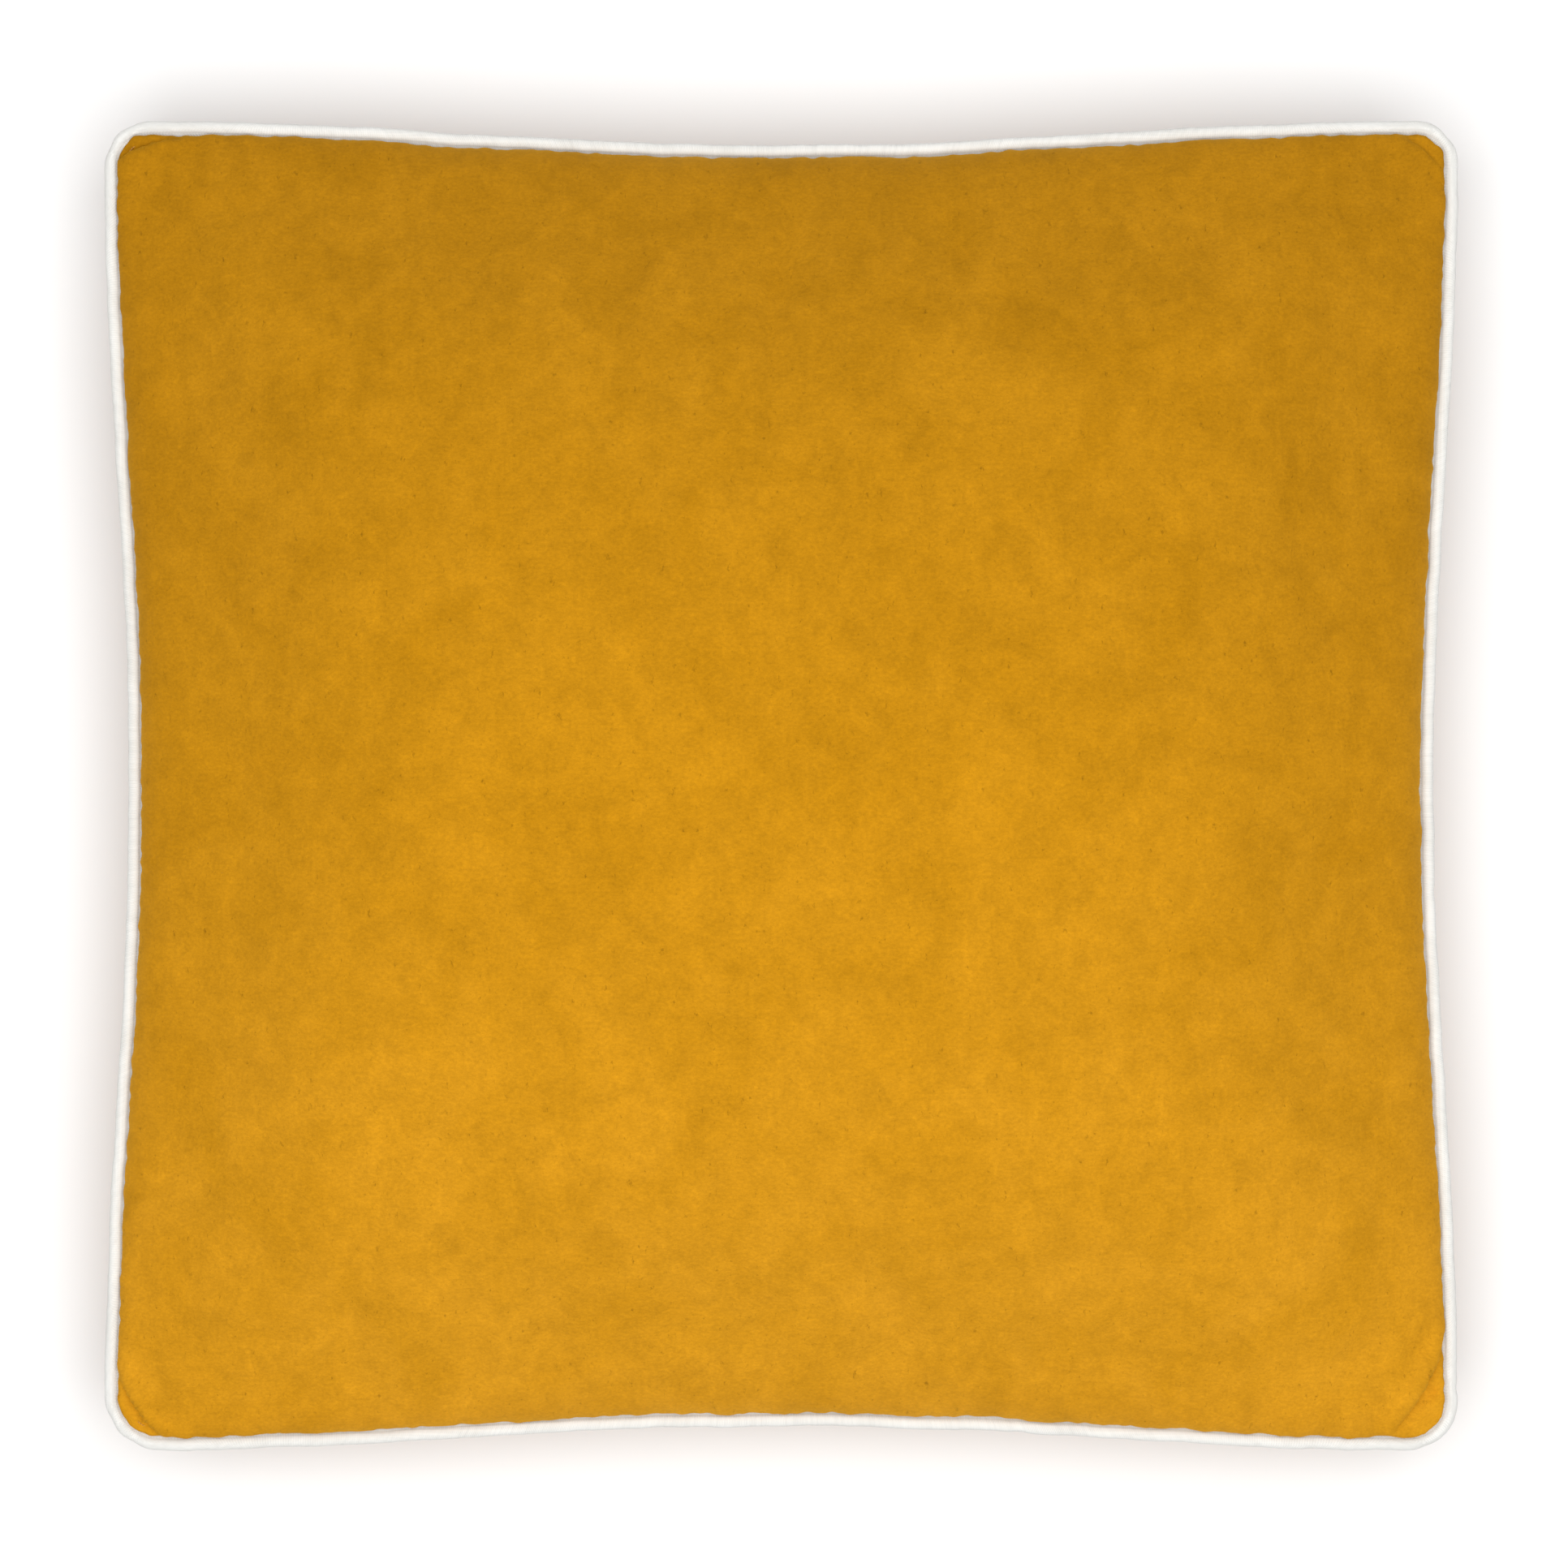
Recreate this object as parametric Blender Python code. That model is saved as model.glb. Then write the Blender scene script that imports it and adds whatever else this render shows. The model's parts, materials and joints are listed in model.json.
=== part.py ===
"""Throw pillow: a velvet cover with a piped seam and a zip, over a filled insert.

Metres, +Z up. The pillow lies on its back: its front faces +Z and its top edge points to +Y. The zip
runs along X in the underside, just inside the bottom edge. The origin is on the ground, under the middle.
"""
import math
from collections import namedtuple

import bmesh
import bpy
from mathutils import Vector

# ---------------------------------------------------------------- driving sizes
# The whole pillow, over its piping
PILLOW_WIDTH = 0.508          # side to side, X
PILLOW_HEIGHT = 0.499         # top edge to bottom edge, Y
PILLOW_THICKNESS = 0.150      # ground to crown, Z
SEAM_LEVEL = 0.064            # height of the piped seam above the ground
SIDE_PULL_IN = 0.0095         # how far the middle of each side draws in between its corners
CORNER_RADIUS = 0.017         # of the velvet at each corner
FLANK_WIDTH = 0.066           # from the seam in to where the underside lies flat
CROWN_FULLNESS = 2.3          # exponents of the crown's curve, and of the flank's
CROWN_EDGE = 0.62
FLANK_EDGE = 0.75

# Clearances
GAP = 0.0003                  # between pieces that touch
INSERT_ROOM = 0.0010          # between the cover and the insert at the crown and the ground
FILLING_ROOM = 0.0008         # between the ticking and the filling there
INSERT_INSET = 0.0130         # from the cover's seam in to the insert's seam
FILLING_INSET = 0.0100        # from the insert's seam in to the filling's edge

# Cloths and threads
VELVET = 0.0010               # thicknesses
PIPING_CLOTH = 0.0006
TICKING = 0.0005
LABEL_CLOTH = 0.0003
SEAM_THREAD = 0.0005          # diameter of the cover's seam thread and topstitching
INSERT_THREAD = 0.0004
SEAM_ALLOWANCE = 0.010        # of the cover
INSERT_ALLOWANCE = 0.008
STITCH_INSET = 0.002          # from the turned edge in to the row of stitches
INSERT_CORNER_RADIUS = 0.020

# Piping
CORD_DIAMETER = 0.0032
PIPING_SIDES = 10             # flats round the piping and its cord
THREAD_SIDES = 6

# Zip: a coil zip behind a slot between two turned edges
ZIP_END_MARGIN = 0.008        # from the slot's end to the end of the underside's straight part
ZIP_TAPER = 0.004             # length over which the slot closes at each end
ZIP_RETURN = 0.008            # velvet turned in along each edge of the slot
TAPE_WIDTH = 0.0094
TAPE_THICKNESS = 0.0005
TAPE_SPLIT = 0.0032           # between the two tapes' inner edges
TAPE_CLEARANCE = 0.0012       # from a tape's outer edge to the end of the straight band
COIL_WIDTH = 0.0021           # of each coil
COIL_THICKNESS = 0.0017
STOP_SETBACK = 0.001          # from the slot's ends to the stops
TOP_STOP_LENGTH = 0.0022
BOTTOM_STOP_LENGTH = 0.0026
SLIDER_LENGTH = 0.0085
SLIDER_PLATE = 0.0008
SLIDER_WALL = 0.0008
SLIDER_SIDE_ROOM = 0.0005     # from the slider to each edge of the slot
WEDGE_LENGTH = 0.0036         # of the wedge that parts the coils
WEDGE_WIDTH = 0.0022
PULL_BAR = 0.0012             # thickness of the pull, and of the bar it swings on
PULL_WIDTH = 0.0040
PULL_LENGTH = 0.0160
BAIL_WIDTH = 0.0012
BAIL_THICKNESS = 0.0008
BARTACK_LENGTH = 0.0015
BARTACK_WIDTH = 0.0080

# Labels
CARE_LABEL_LENGTH = 0.045
INSERT_TAG_LENGTH = 0.060
LABEL_DROP = 0.018

# ---------------------------------------------------------------- sizes that follow
Plan = namedtuple("Plan", "half_x half_y radius")
Station = namedtuple("Station", "point outward")

CORD_ROOM = CORD_DIAMETER / 2 + GAP                 # inner radius of the bias strip
PIPING_RADIUS = CORD_ROOM + PIPING_CLOTH
PLY_LEVEL = GAP / 2 + PIPING_CLOTH                  # outer face of each ply of the piping's flange
FOLD_LEVEL = PLY_LEVEL + GAP                        # face of the velvet's allowance, from the seam
PIPING_REACH = PIPING_RADIUS + GAP                  # from the seam out to the piping's centre
EDGE_TO_SEAM = PIPING_REACH + PIPING_RADIUS
FOLD_HEIGHT = 2 * VELVET + SEAM_THREAD + 4 * GAP    # keeps the stitches clear of the velvet above
RIM = FOLD_LEVEL + FOLD_HEIGHT
INSERT_FOLD_LEVEL = GAP / 2
INSERT_RIM = INSERT_FOLD_LEVEL + 2 * TICKING + INSERT_THREAD + 4 * GAP
FILLING_RIM = INSERT_RIM - TICKING - FILLING_ROOM

COVER = Plan(PILLOW_WIDTH / 2 - EDGE_TO_SEAM, PILLOW_HEIGHT / 2 - EDGE_TO_SEAM, CORNER_RADIUS)
INSERT = Plan(COVER.half_x - INSERT_INSET, COVER.half_y - INSERT_INSET, INSERT_CORNER_RADIUS)
FILLING = Plan(INSERT.half_x - FILLING_INSET, INSERT.half_y - FILLING_INSET, INSERT_CORNER_RADIUS)

BAND_WIDTH = 2 * (TAPE_SPLIT / 2 + TAPE_WIDTH + TAPE_CLEARANCE)   # straight band that holds the zip
BAND_START = CORNER_RADIUS                          # distances in from the bottom seam
ZIP_INSET = BAND_START + BAND_WIDTH / 2
BAND_END = BAND_START + BAND_WIDTH
FLAT_X = COVER.half_x - FLANK_WIDTH
FLAT_Y = COVER.half_y - FLANK_WIDTH
ZIP_HALF = FLAT_X - ZIP_END_MARGIN                  # half the slot's length

# Depths below the velvet's face at the zip
RETURN_DEPTH = 2 * VELVET + GAP
TAPE_DEPTH = RETURN_DEPTH + GAP
COIL_DEPTH = TAPE_DEPTH - GAP                       # the coil's base
COIL_TOP = COIL_DEPTH - COIL_THICKNESS
PLATE_DEPTH = COIL_TOP - GAP                        # underside of the slider's outer plate
INNER_PLATE = TAPE_DEPTH + TAPE_THICKNESS + GAP     # upper side of its inner plate
CHANNEL_HALF = GAP / 2 + COIL_WIDTH + GAP
SLIDER_HALF = CHANNEL_HALF + SLIDER_WALL
SLOT_HALF = SLIDER_HALF + SLIDER_SIDE_ROOM
PLATE_TOP = SLIDER_PLATE - PLATE_DEPTH              # height above the velvet's face
PULL_HEIGHT = PLATE_TOP + GAP + PULL_BAR / 2        # of the pull's hinge
TOP_STOP_END = ZIP_HALF - STOP_SETBACK
TOP_STOP_START = TOP_STOP_END - TOP_STOP_LENGTH
SLIDER_X = TOP_STOP_START - GAP - SLIDER_LENGTH / 2  # the slider's centre, zip closed
WEDGE_TIP = SLIDER_LENGTH / 2 - WEDGE_LENGTH        # from the slider's centre
BOTTOM_STOP_START = STOP_SETBACK - ZIP_HALF
BOTTOM_STOP_END = BOTTOM_STOP_START + BOTTOM_STOP_LENGTH


# ---------------------------------------------------------------- scene helpers
def clear_scene():
    for obj in list(bpy.data.objects):
        bpy.data.objects.remove(obj, do_unlink=True)


def make_material(name, colour, roughness, metallic=0.0):
    material = bpy.data.materials.new(name)
    material.use_nodes = True
    shader = material.node_tree.nodes["Principled BSDF"]
    shader.inputs["Base Color"].default_value = (*colour, 1.0)
    shader.inputs["Roughness"].default_value = roughness
    shader.inputs["Metallic"].default_value = metallic
    return material


def add_object(name, bm, material, smooth=False, parent=None, location=(0, 0, 0)):
    mesh = bpy.data.meshes.new(name)
    bm.to_mesh(mesh)
    bm.free()
    mesh.materials.append(material)
    if smooth:
        mesh.shade_smooth()
        mesh.set_sharp_from_angle(angle=math.radians(40))
    obj = bpy.data.objects.new(name, mesh)
    bpy.context.scene.collection.objects.link(obj)
    obj.parent = parent
    obj.location = location
    return obj


def as_helper(obj):
    """Marks an object that only shapes another one."""
    obj.hide_render = True
    obj.display_type = "WIRE"
    return obj


def combine(obj, helper, operation):
    modifier = obj.modifiers.new(operation.lower(), "BOOLEAN")
    modifier.operation = operation
    modifier.solver = "EXACT"
    modifier.object = as_helper(helper)


def placed_grid(columns, rows, place):
    """A sheet of columns x rows points, each put where place(column, row) says."""
    bm = bmesh.new()
    bmesh.ops.create_grid(bm, x_segments=columns - 1, y_segments=rows - 1, size=1)
    for vert in bm.verts:
        column = round((vert.co.x + 1) / 2 * (columns - 1))
        row = round((vert.co.y + 1) / 2 * (rows - 1))
        vert.co = place(column, row)
    return bm


def block(bm, low, high):
    """Adds a box between two corners."""
    made = bmesh.ops.create_cube(bm, size=1)["verts"]
    for vert in made:
        vert.co = [low[k] if vert.co[k] < 0 else high[k] for k in range(3)]


def prism(outline, low, high, axis):
    """Extrudes a closed outline of (first, second) points from low to high along axis 0, 1 or 2."""
    bm = bmesh.new()
    first, second = [k for k in range(3) if k != axis]
    verts = []
    for point in outline:
        corner = [0.0, 0.0, 0.0]
        corner[first], corner[second], corner[axis] = point[0], point[1], low
        verts.append(bm.verts.new(corner))
    face = bm.faces.new(verts)
    raised = bmesh.ops.extrude_face_region(bm, geom=[face])["geom"]
    for vert in raised:
        if isinstance(vert, bmesh.types.BMVert):
            vert.co[axis] = high
    bmesh.ops.recalc_face_normals(bm, faces=bm.faces)
    return bm


def circle_points(radius, sides, centre, start=0.0, end=2 * math.pi, closed=False):
    """Points on an arc; an open arc has one point more than it has sides."""
    count = sides if closed else sides + 1
    angles = [start + (end - start) * k / sides for k in range(count)]
    return [(centre[0] + radius * math.cos(a), centre[1] + radius * math.sin(a)) for a in angles]


def spread(start, end, cells):
    return [start + (end - start) * k / cells for k in range(cells + 1)]


# ---------------------------------------------------------------- the pillow's form
def plan_point(plan, x, y):
    """Where a point of the square-cornered plan lies once corners are round and sides draw in."""
    straight_x, straight_y = plan.half_x - plan.radius, plan.half_y - plan.radius
    over_x = max(0.0, abs(x) - straight_x) / plan.radius
    over_y = max(0.0, abs(y) - straight_y) / plan.radius
    out_x = min(abs(x), straight_x) + plan.radius * over_x * math.sqrt(1 - over_y ** 2 / 2)
    out_y = min(abs(y), straight_y) + plan.radius * over_y * math.sqrt(1 - over_x ** 2 / 2)
    out_x -= SIDE_PULL_IN * over_x * math.cos(math.pi / 2 * y / plan.half_y) ** 2
    out_y -= SIDE_PULL_IN * over_y * math.cos(math.pi / 2 * x / plan.half_x) ** 2
    return math.copysign(out_x, x), math.copysign(out_y, y)


def crown_rise(share):
    """Share of the crown's rise at a share of the way from the middle to the seam."""
    return (1 - min(1.0, abs(share)) ** CROWN_FULLNESS) ** CROWN_EDGE


def flank_drop(inward):
    """Share of the underside's drop at a distance in from the seam."""
    rest = min(1.0, max(0.0, 1 - inward / FLANK_WIDTH))
    return (1 - rest ** 2) ** FLANK_EDGE


def zip_side_drop(y):
    """The same, with a straight band for the zip along the bottom edge."""
    inward = COVER.half_y - abs(y)
    if y < 0 and BAND_START < inward < BAND_END:
        share = (inward - BAND_START) / BAND_WIDTH
        return flank_drop(BAND_START) + share * (flank_drop(BAND_END) - flank_drop(BAND_START))
    return flank_drop(inward)


def upper_face(plan, rim, crown):
    """Height over the plan of a layer's upper face, from its rim to its crown."""
    def height(x, y):
        return rim + (crown - rim) * crown_rise(x / plan.half_x) * crown_rise(y / plan.half_y)
    return height


def lower_face(plan, rim, ground):
    """Height over the plan of a layer's lower face, from its rim to where it lies flat."""
    def height(x, y):
        drop = flank_drop(plan.half_x - abs(x)) * flank_drop(plan.half_y - abs(y))
        return rim + (ground - rim) * drop
    return height


def cover_underside(x, y):
    rim = SEAM_LEVEL - RIM
    return rim - rim * flank_drop(COVER.half_x - abs(x)) * zip_side_drop(y)


def mirrored(half_lines):
    return [-value for value in reversed(half_lines[1:])] + half_lines


def edge_lines(half, radius):
    """Grid lines through the flank and the corner, from the flat part's edge outwards."""
    return spread(half - FLANK_WIDTH, half - radius, 2) + [half - radius / 2, half]


def even_lines(half, radius):
    """Grid lines from edge to edge of a layer that has no zip."""
    return mirrored(spread(0, half - FLANK_WIDTH, 3)[:-1] + edge_lines(half, radius))


COVER_X = mirrored(spread(0, ZIP_HALF, 3) + [ZIP_HALF + ZIP_TAPER] + edge_lines(COVER.half_x, COVER.radius))
COVER_TOP = edge_lines(COVER.half_y, COVER.radius)
COVER_BOTTOM = [COVER.half_y, COVER.half_y - COVER.radius / 2, COVER.half_y - BAND_START]
PANEL_Y = [BAND_END - COVER.half_y] + spread(-FLAT_Y, FLAT_Y, 6) + COVER_TOP[1:]
COVER_Y = [-y for y in COVER_BOTTOM] + [ZIP_INSET - COVER.half_y] + PANEL_Y
INSERT_X = even_lines(INSERT.half_x, INSERT.radius)
INSERT_Y = even_lines(INSERT.half_y, INSERT.radius)
FILLING_X = even_lines(FILLING.half_x, FILLING.radius)
FILLING_Y = even_lines(FILLING.half_y, FILLING.radius)


def seam_stations(plan, x_lines, y_lines):
    """Points round a seam, each with the outward step that moves both of its edges out by one."""
    rim = [(x, -plan.half_y) for x in x_lines[:-1]]
    rim += [(plan.half_x, y) for y in y_lines[:-1]]
    rim += [(x, plan.half_y) for x in reversed(x_lines[1:])]
    rim += [(-plan.half_x, y) for y in reversed(y_lines[1:])]
    points = [Vector(plan_point(plan, x, y)) for x, y in rim]
    stations = []
    for k, point in enumerate(points):
        before = (point - points[k - 1]).normalized()
        after = (points[(k + 1) % len(points)] - point).normalized()
        normals = [Vector((edge.y, -edge.x)) for edge in (before, after)]
        outward = (normals[0] + normals[1]) / (1 + normals[0].dot(normals[1]))
        stations.append(Station(point, outward))
    return stations


COVER_SEAM = seam_stations(COVER, COVER_X, COVER_Y)
INSERT_SEAM = seam_stations(INSERT, INSERT_X, INSERT_Y)


# ---------------------------------------------------------------- sheets of cloth
def panel_sheet(plan, x_lines, y_lines, height, up=True):
    """One layer's outer face over its plan, pointing up or down."""
    def place(column, row):
        x, y = x_lines[column], y_lines[row]
        return (*plan_point(plan, x, y), height(x, y))

    bm = placed_grid(len(x_lines), len(y_lines), place)
    if not up:
        bmesh.ops.reverse_faces(bm, faces=bm.faces)
    return bm


def grow_edge(bm, edges, move):
    """Extrudes a sheet's edges, moves the new points, and returns the new edges."""
    made = bmesh.ops.extrude_edge_only(bm, edges=edges)["geom"]
    verts = {item for item in made if isinstance(item, bmesh.types.BMVert)}
    for vert in verts:
        vert.co = move(vert.co)
    return [edge for edge in bm.edges if edge.is_boundary and verts.issuperset(edge.verts)]


def turn_in(bm, edges, stations, fold_level, allowance):
    """Folds a panel's raw edge over at the seam, and back inside it by the allowance."""
    def to_seam(point):
        return Vector((point.x, point.y, fold_level))

    def to_inside(point):
        nearest = min(stations, key=lambda station: (station.point - point.xy).length)
        inner = point.xy - nearest.outward * allowance
        return Vector((inner.x, inner.y, point.z))

    folded = grow_edge(bm, edges, to_seam)
    grow_edge(bm, folded, to_inside)


def thicken(obj, thickness):
    modifier = obj.modifiers.new("thickness", "SOLIDIFY")
    modifier.thickness = thickness
    modifier.offset = -1
    modifier.use_even_offset = True
    modifier.use_quality_normals = True


def front_panel(velvet):
    height = upper_face(COVER, SEAM_LEVEL + RIM, PILLOW_THICKNESS)
    bm = panel_sheet(COVER, COVER_X, COVER_Y, height)
    raw = [edge for edge in bm.edges if edge.is_boundary]
    turn_in(bm, raw, COVER_SEAM, SEAM_LEVEL + FOLD_LEVEL, SEAM_ALLOWANCE)
    thicken(add_object("front_panel", bm, velvet), VELVET)


# ---------------------------------------------------------------- the zip's straight band
def zip_slope():
    """Angle of the band to the ground."""
    near = cover_underside(0, BAND_START - COVER.half_y)
    far = cover_underside(0, BAND_END - COVER.half_y)
    return math.atan2(near - far, BAND_WIDTH)


SLOPE = zip_slope()
OUT = Vector((0, -math.sin(SLOPE), -math.cos(SLOPE)))      # out of the velvet's face
DOWNHILL = Vector((0, math.cos(SLOPE), -math.sin(SLOPE)))  # along the band, away from the seam
ZIP_Y = ZIP_INSET - COVER.half_y
ZIP_CENTRE = Vector((0, ZIP_Y, cover_underside(0, ZIP_Y)))


def slot_y(x, side):
    """Plan line of one edge of the slot: +1 the panel's, -1 the strip's. It closes past the zip."""
    half = SLOT_HALF if abs(x) < ZIP_HALF + ZIP_TAPER / 2 else GAP / 2
    return ZIP_Y + side * half * math.cos(SLOPE)


def back_piece(name, velvet, y_lines, side):
    """A back panel with its piped edges turned in, and its slot edge turned in along the zip."""
    slot_row = 0 if side > 0 else len(y_lines) - 1

    def place(column, row):
        x = COVER_X[column]
        y = slot_y(x, side) if row == slot_row else y_lines[row]
        return (*plan_point(COVER, x, y), cover_underside(x, y))

    bm = placed_grid(len(COVER_X), len(y_lines), place)
    bmesh.ops.reverse_faces(bm, faces=bm.faces)
    raw = [edge for edge in bm.edges if edge.is_boundary]
    slot = [edge for edge in raw if all(abs(v.co.y - ZIP_Y) <= SLOT_HALF for v in edge.verts)]
    seam = [edge for edge in raw if edge not in slot]
    turned = [edge for edge in slot if all(abs(v.co.x) < FLAT_X + GAP for v in edge.verts)]
    turn_in(bm, seam, COVER_SEAM, SEAM_LEVEL - FOLD_LEVEL, SEAM_ALLOWANCE)
    folded = grow_edge(bm, turned, lambda point: point - OUT * RETURN_DEPTH)
    grow_edge(bm, folded, lambda point: point + side * DOWNHILL * ZIP_RETURN)
    thicken(add_object(name, bm, velvet), VELVET)


def back_panels(velvet):
    back_piece("back_panel", velvet, [ZIP_Y] + PANEL_Y, side=1)
    back_piece("back_strip", velvet, [-y for y in COVER_BOTTOM] + [ZIP_Y], side=-1)


# ---------------------------------------------------------------- what runs round the seams
def sweep_round(name, stations, section, material, level):
    """Sweeps a closed section of (outwards, up) points round a seam."""
    def place(column, row):
        station = stations[column % len(stations)]
        outwards, up = section[row % len(section)]
        point = station.point + station.outward * outwards
        return (point.x, point.y, level + up)

    bm = placed_grid(len(stations) + 1, len(section) + 1, place)
    bmesh.ops.remove_doubles(bm, verts=bm.verts, dist=1e-6)
    bmesh.ops.recalc_face_normals(bm, faces=bm.faces)
    add_object(name, bm, material, smooth=True)


def piping(cloth, cord):
    """A bias strip wrapped round a cord, with its two plies laid into the seam."""
    centre = (PIPING_REACH, 0.0)
    outer_end = math.pi - math.asin(PLY_LEVEL / PIPING_RADIUS)
    inner_end = math.pi - math.asin(GAP / 2 / CORD_ROOM)
    outer = circle_points(PIPING_RADIUS, PIPING_SIDES, centre, outer_end, -outer_end)
    inner = circle_points(CORD_ROOM, PIPING_SIDES, centre, -inner_end, inner_end)
    upper_ply = [(-SEAM_ALLOWANCE, GAP / 2), (-SEAM_ALLOWANCE, PLY_LEVEL)]
    lower_ply = [(-SEAM_ALLOWANCE, -PLY_LEVEL), (-SEAM_ALLOWANCE, -GAP / 2)]
    sweep_round("piping_cover", COVER_SEAM, upper_ply + outer + lower_ply + inner, cloth, SEAM_LEVEL)
    # The cord's flats follow the strip's, so it is turned to match them
    round_cord = circle_points(CORD_DIAMETER / 2, PIPING_SIDES, centre, -math.pi, math.pi, closed=True)
    sweep_round("piping_cord", COVER_SEAM, round_cord, cord, SEAM_LEVEL)


def seam_threads(cover_thread, insert_thread):
    """A lockstitch has one thread on each side of the seam."""
    lift = FOLD_LEVEL + VELVET + GAP + SEAM_THREAD / 2
    insert_lift = INSERT_FOLD_LEVEL + TICKING + GAP + INSERT_THREAD / 2
    for name, side in (("needle", 1), ("bobbin", -1)):
        centre = (-VELVET - STITCH_INSET, side * lift)
        section = circle_points(SEAM_THREAD / 2, THREAD_SIDES, centre, closed=True)
        sweep_round(f"cover_{name}_thread", COVER_SEAM, section, cover_thread, SEAM_LEVEL)
        centre = (-TICKING - STITCH_INSET, side * insert_lift)
        section = circle_points(INSERT_THREAD / 2, THREAD_SIDES, centre, closed=True)
        sweep_round(f"insert_{name}_thread", INSERT_SEAM, section, insert_thread, SEAM_LEVEL)


# ---------------------------------------------------------------- the insert
def insert_shells(ticking):
    crown = PILLOW_THICKNESS - VELVET - INSERT_ROOM
    faces = (("insert_shell_front", upper_face(INSERT, SEAM_LEVEL + INSERT_RIM, crown), 1),
             ("insert_shell_back", lower_face(INSERT, SEAM_LEVEL - INSERT_RIM, VELVET + INSERT_ROOM), -1))
    for name, height, side in faces:
        bm = panel_sheet(INSERT, INSERT_X, INSERT_Y, height, up=side > 0)
        raw = [edge for edge in bm.edges if edge.is_boundary]
        turn_in(bm, raw, INSERT_SEAM, SEAM_LEVEL + side * INSERT_FOLD_LEVEL, INSERT_ALLOWANCE)
        thicken(add_object(name, bm, ticking), TICKING)


def insert_filling(fibre):
    inside = VELVET + INSERT_ROOM + TICKING + FILLING_ROOM
    top = upper_face(FILLING, SEAM_LEVEL + FILLING_RIM, PILLOW_THICKNESS - inside)
    bottom = lower_face(FILLING, SEAM_LEVEL - FILLING_RIM, inside)
    lows = {}

    def place(column, row):
        x, y = FILLING_X[column], FILLING_Y[row]
        point = Vector((*plan_point(FILLING, x, y), top(x, y)))
        lows[(round(point.x, 6), round(point.y, 6))] = bottom(x, y)
        return point

    bm = placed_grid(len(FILLING_X), len(FILLING_Y), place)
    sunk = bmesh.ops.extrude_face_region(bm, geom=list(bm.faces))["geom"]
    for vert in sunk:
        if isinstance(vert, bmesh.types.BMVert):
            vert.co.z = lows[(round(vert.co.x, 6), round(vert.co.y, 6))]
    bmesh.ops.recalc_face_normals(bm, faces=bm.faces)
    add_object("insert_filling", bm, fibre)


def labels(cloth):
    """Blank labels that hang from the side seams, between the cover's allowance and the insert."""
    between = (SEAM_ALLOWANCE + INSERT_INSET) / 2
    x = COVER.half_x - SIDE_PULL_IN - between
    top = SEAM_LEVEL - FOLD_LEVEL - VELVET
    for name, side, length in (("care_label", -1, CARE_LABEL_LENGTH), ("insert_tag", 1, INSERT_TAG_LENGTH)):
        bm = bmesh.new()
        block(bm, (side * x - LABEL_CLOTH / 2, -length / 2, top - LABEL_DROP),
              (side * x + LABEL_CLOTH / 2, length / 2, top))
        add_object(name, bm, cloth)


# ---------------------------------------------------------------- the zip
def zip_frame():
    """Origin at the slot's middle on the velvet's face: X along the zip, Y to the seam, Z outwards."""
    empty = bpy.data.objects.new("zip_line", None)
    bpy.context.scene.collection.objects.link(empty)
    empty.location = ZIP_CENTRE
    empty.rotation_euler = (math.pi - SLOPE, 0, 0)
    return empty


def across(side, near, far):
    """Two distances across the zip as (low, high); side is +1 towards the seam, -1 away from it."""
    return sorted((side * near, side * far))


def tapes_and_coils(line, woven, nylon):
    coil_end = SLIDER_X + WEDGE_TIP - GAP
    for name, side in (("lower", 1), ("upper", -1)):
        low, high = across(side, TAPE_SPLIT / 2, TAPE_SPLIT / 2 + TAPE_WIDTH)
        bm = bmesh.new()
        end = FLAT_X - STOP_SETBACK
        block(bm, (-end, low, -TAPE_DEPTH - TAPE_THICKNESS), (end, high, -TAPE_DEPTH))
        add_object(f"zip_tape_{name}", bm, woven, parent=line)
        inner, outer = side * GAP / 2, side * (GAP / 2 + COIL_WIDTH)
        bend = side * COIL_WIDTH / 4
        outline = [(inner, -COIL_DEPTH), (outer, -COIL_DEPTH),
                   (outer, -COIL_TOP - COIL_THICKNESS / 3), (outer - bend, -COIL_TOP),
                   (inner + bend, -COIL_TOP), (inner, -COIL_TOP - COIL_THICKNESS / 4)]
        coil = prism(outline, BOTTOM_STOP_END + GAP, coil_end, axis=0)
        add_object(f"zip_coil_{name}", coil, nylon, parent=line)


def stops(line, metal):
    """Top stops clamp one tape each; the bottom stop clamps both."""
    for name, side in (("lower", 1), ("upper", -1)):
        near, far = TAPE_SPLIT / 2 - 2 * GAP, CHANNEL_HALF + SLIDER_WALL
        slot = near + GAP
        outline = [(near, -COIL_TOP), (far, -COIL_TOP), (far, -COIL_DEPTH), (slot, -COIL_DEPTH),
                   (slot, -INNER_PLATE), (far, -INNER_PLATE), (far, -INNER_PLATE - SLIDER_PLATE),
                   (near, -INNER_PLATE - SLIDER_PLATE)]
        outline = [(side * y, z) for y, z in outline]
        bm = prism(outline, TOP_STOP_START, TOP_STOP_END, axis=0)
        add_object(f"zip_top_stop_{name}", bm, metal, parent=line)
    web, far = TAPE_SPLIT / 2 - GAP, CHANNEL_HALF
    half = [(far, -COIL_TOP), (far, -COIL_DEPTH), (web, -COIL_DEPTH), (web, -INNER_PLATE),
            (far, -INNER_PLATE), (far, -INNER_PLATE - SLIDER_PLATE)]
    outline = half + [(-y, z) for y, z in reversed(half)]
    bm = prism(outline, BOTTOM_STOP_START, BOTTOM_STOP_END, axis=0)
    add_object("zip_bottom_stop", bm, metal, parent=line)


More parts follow.
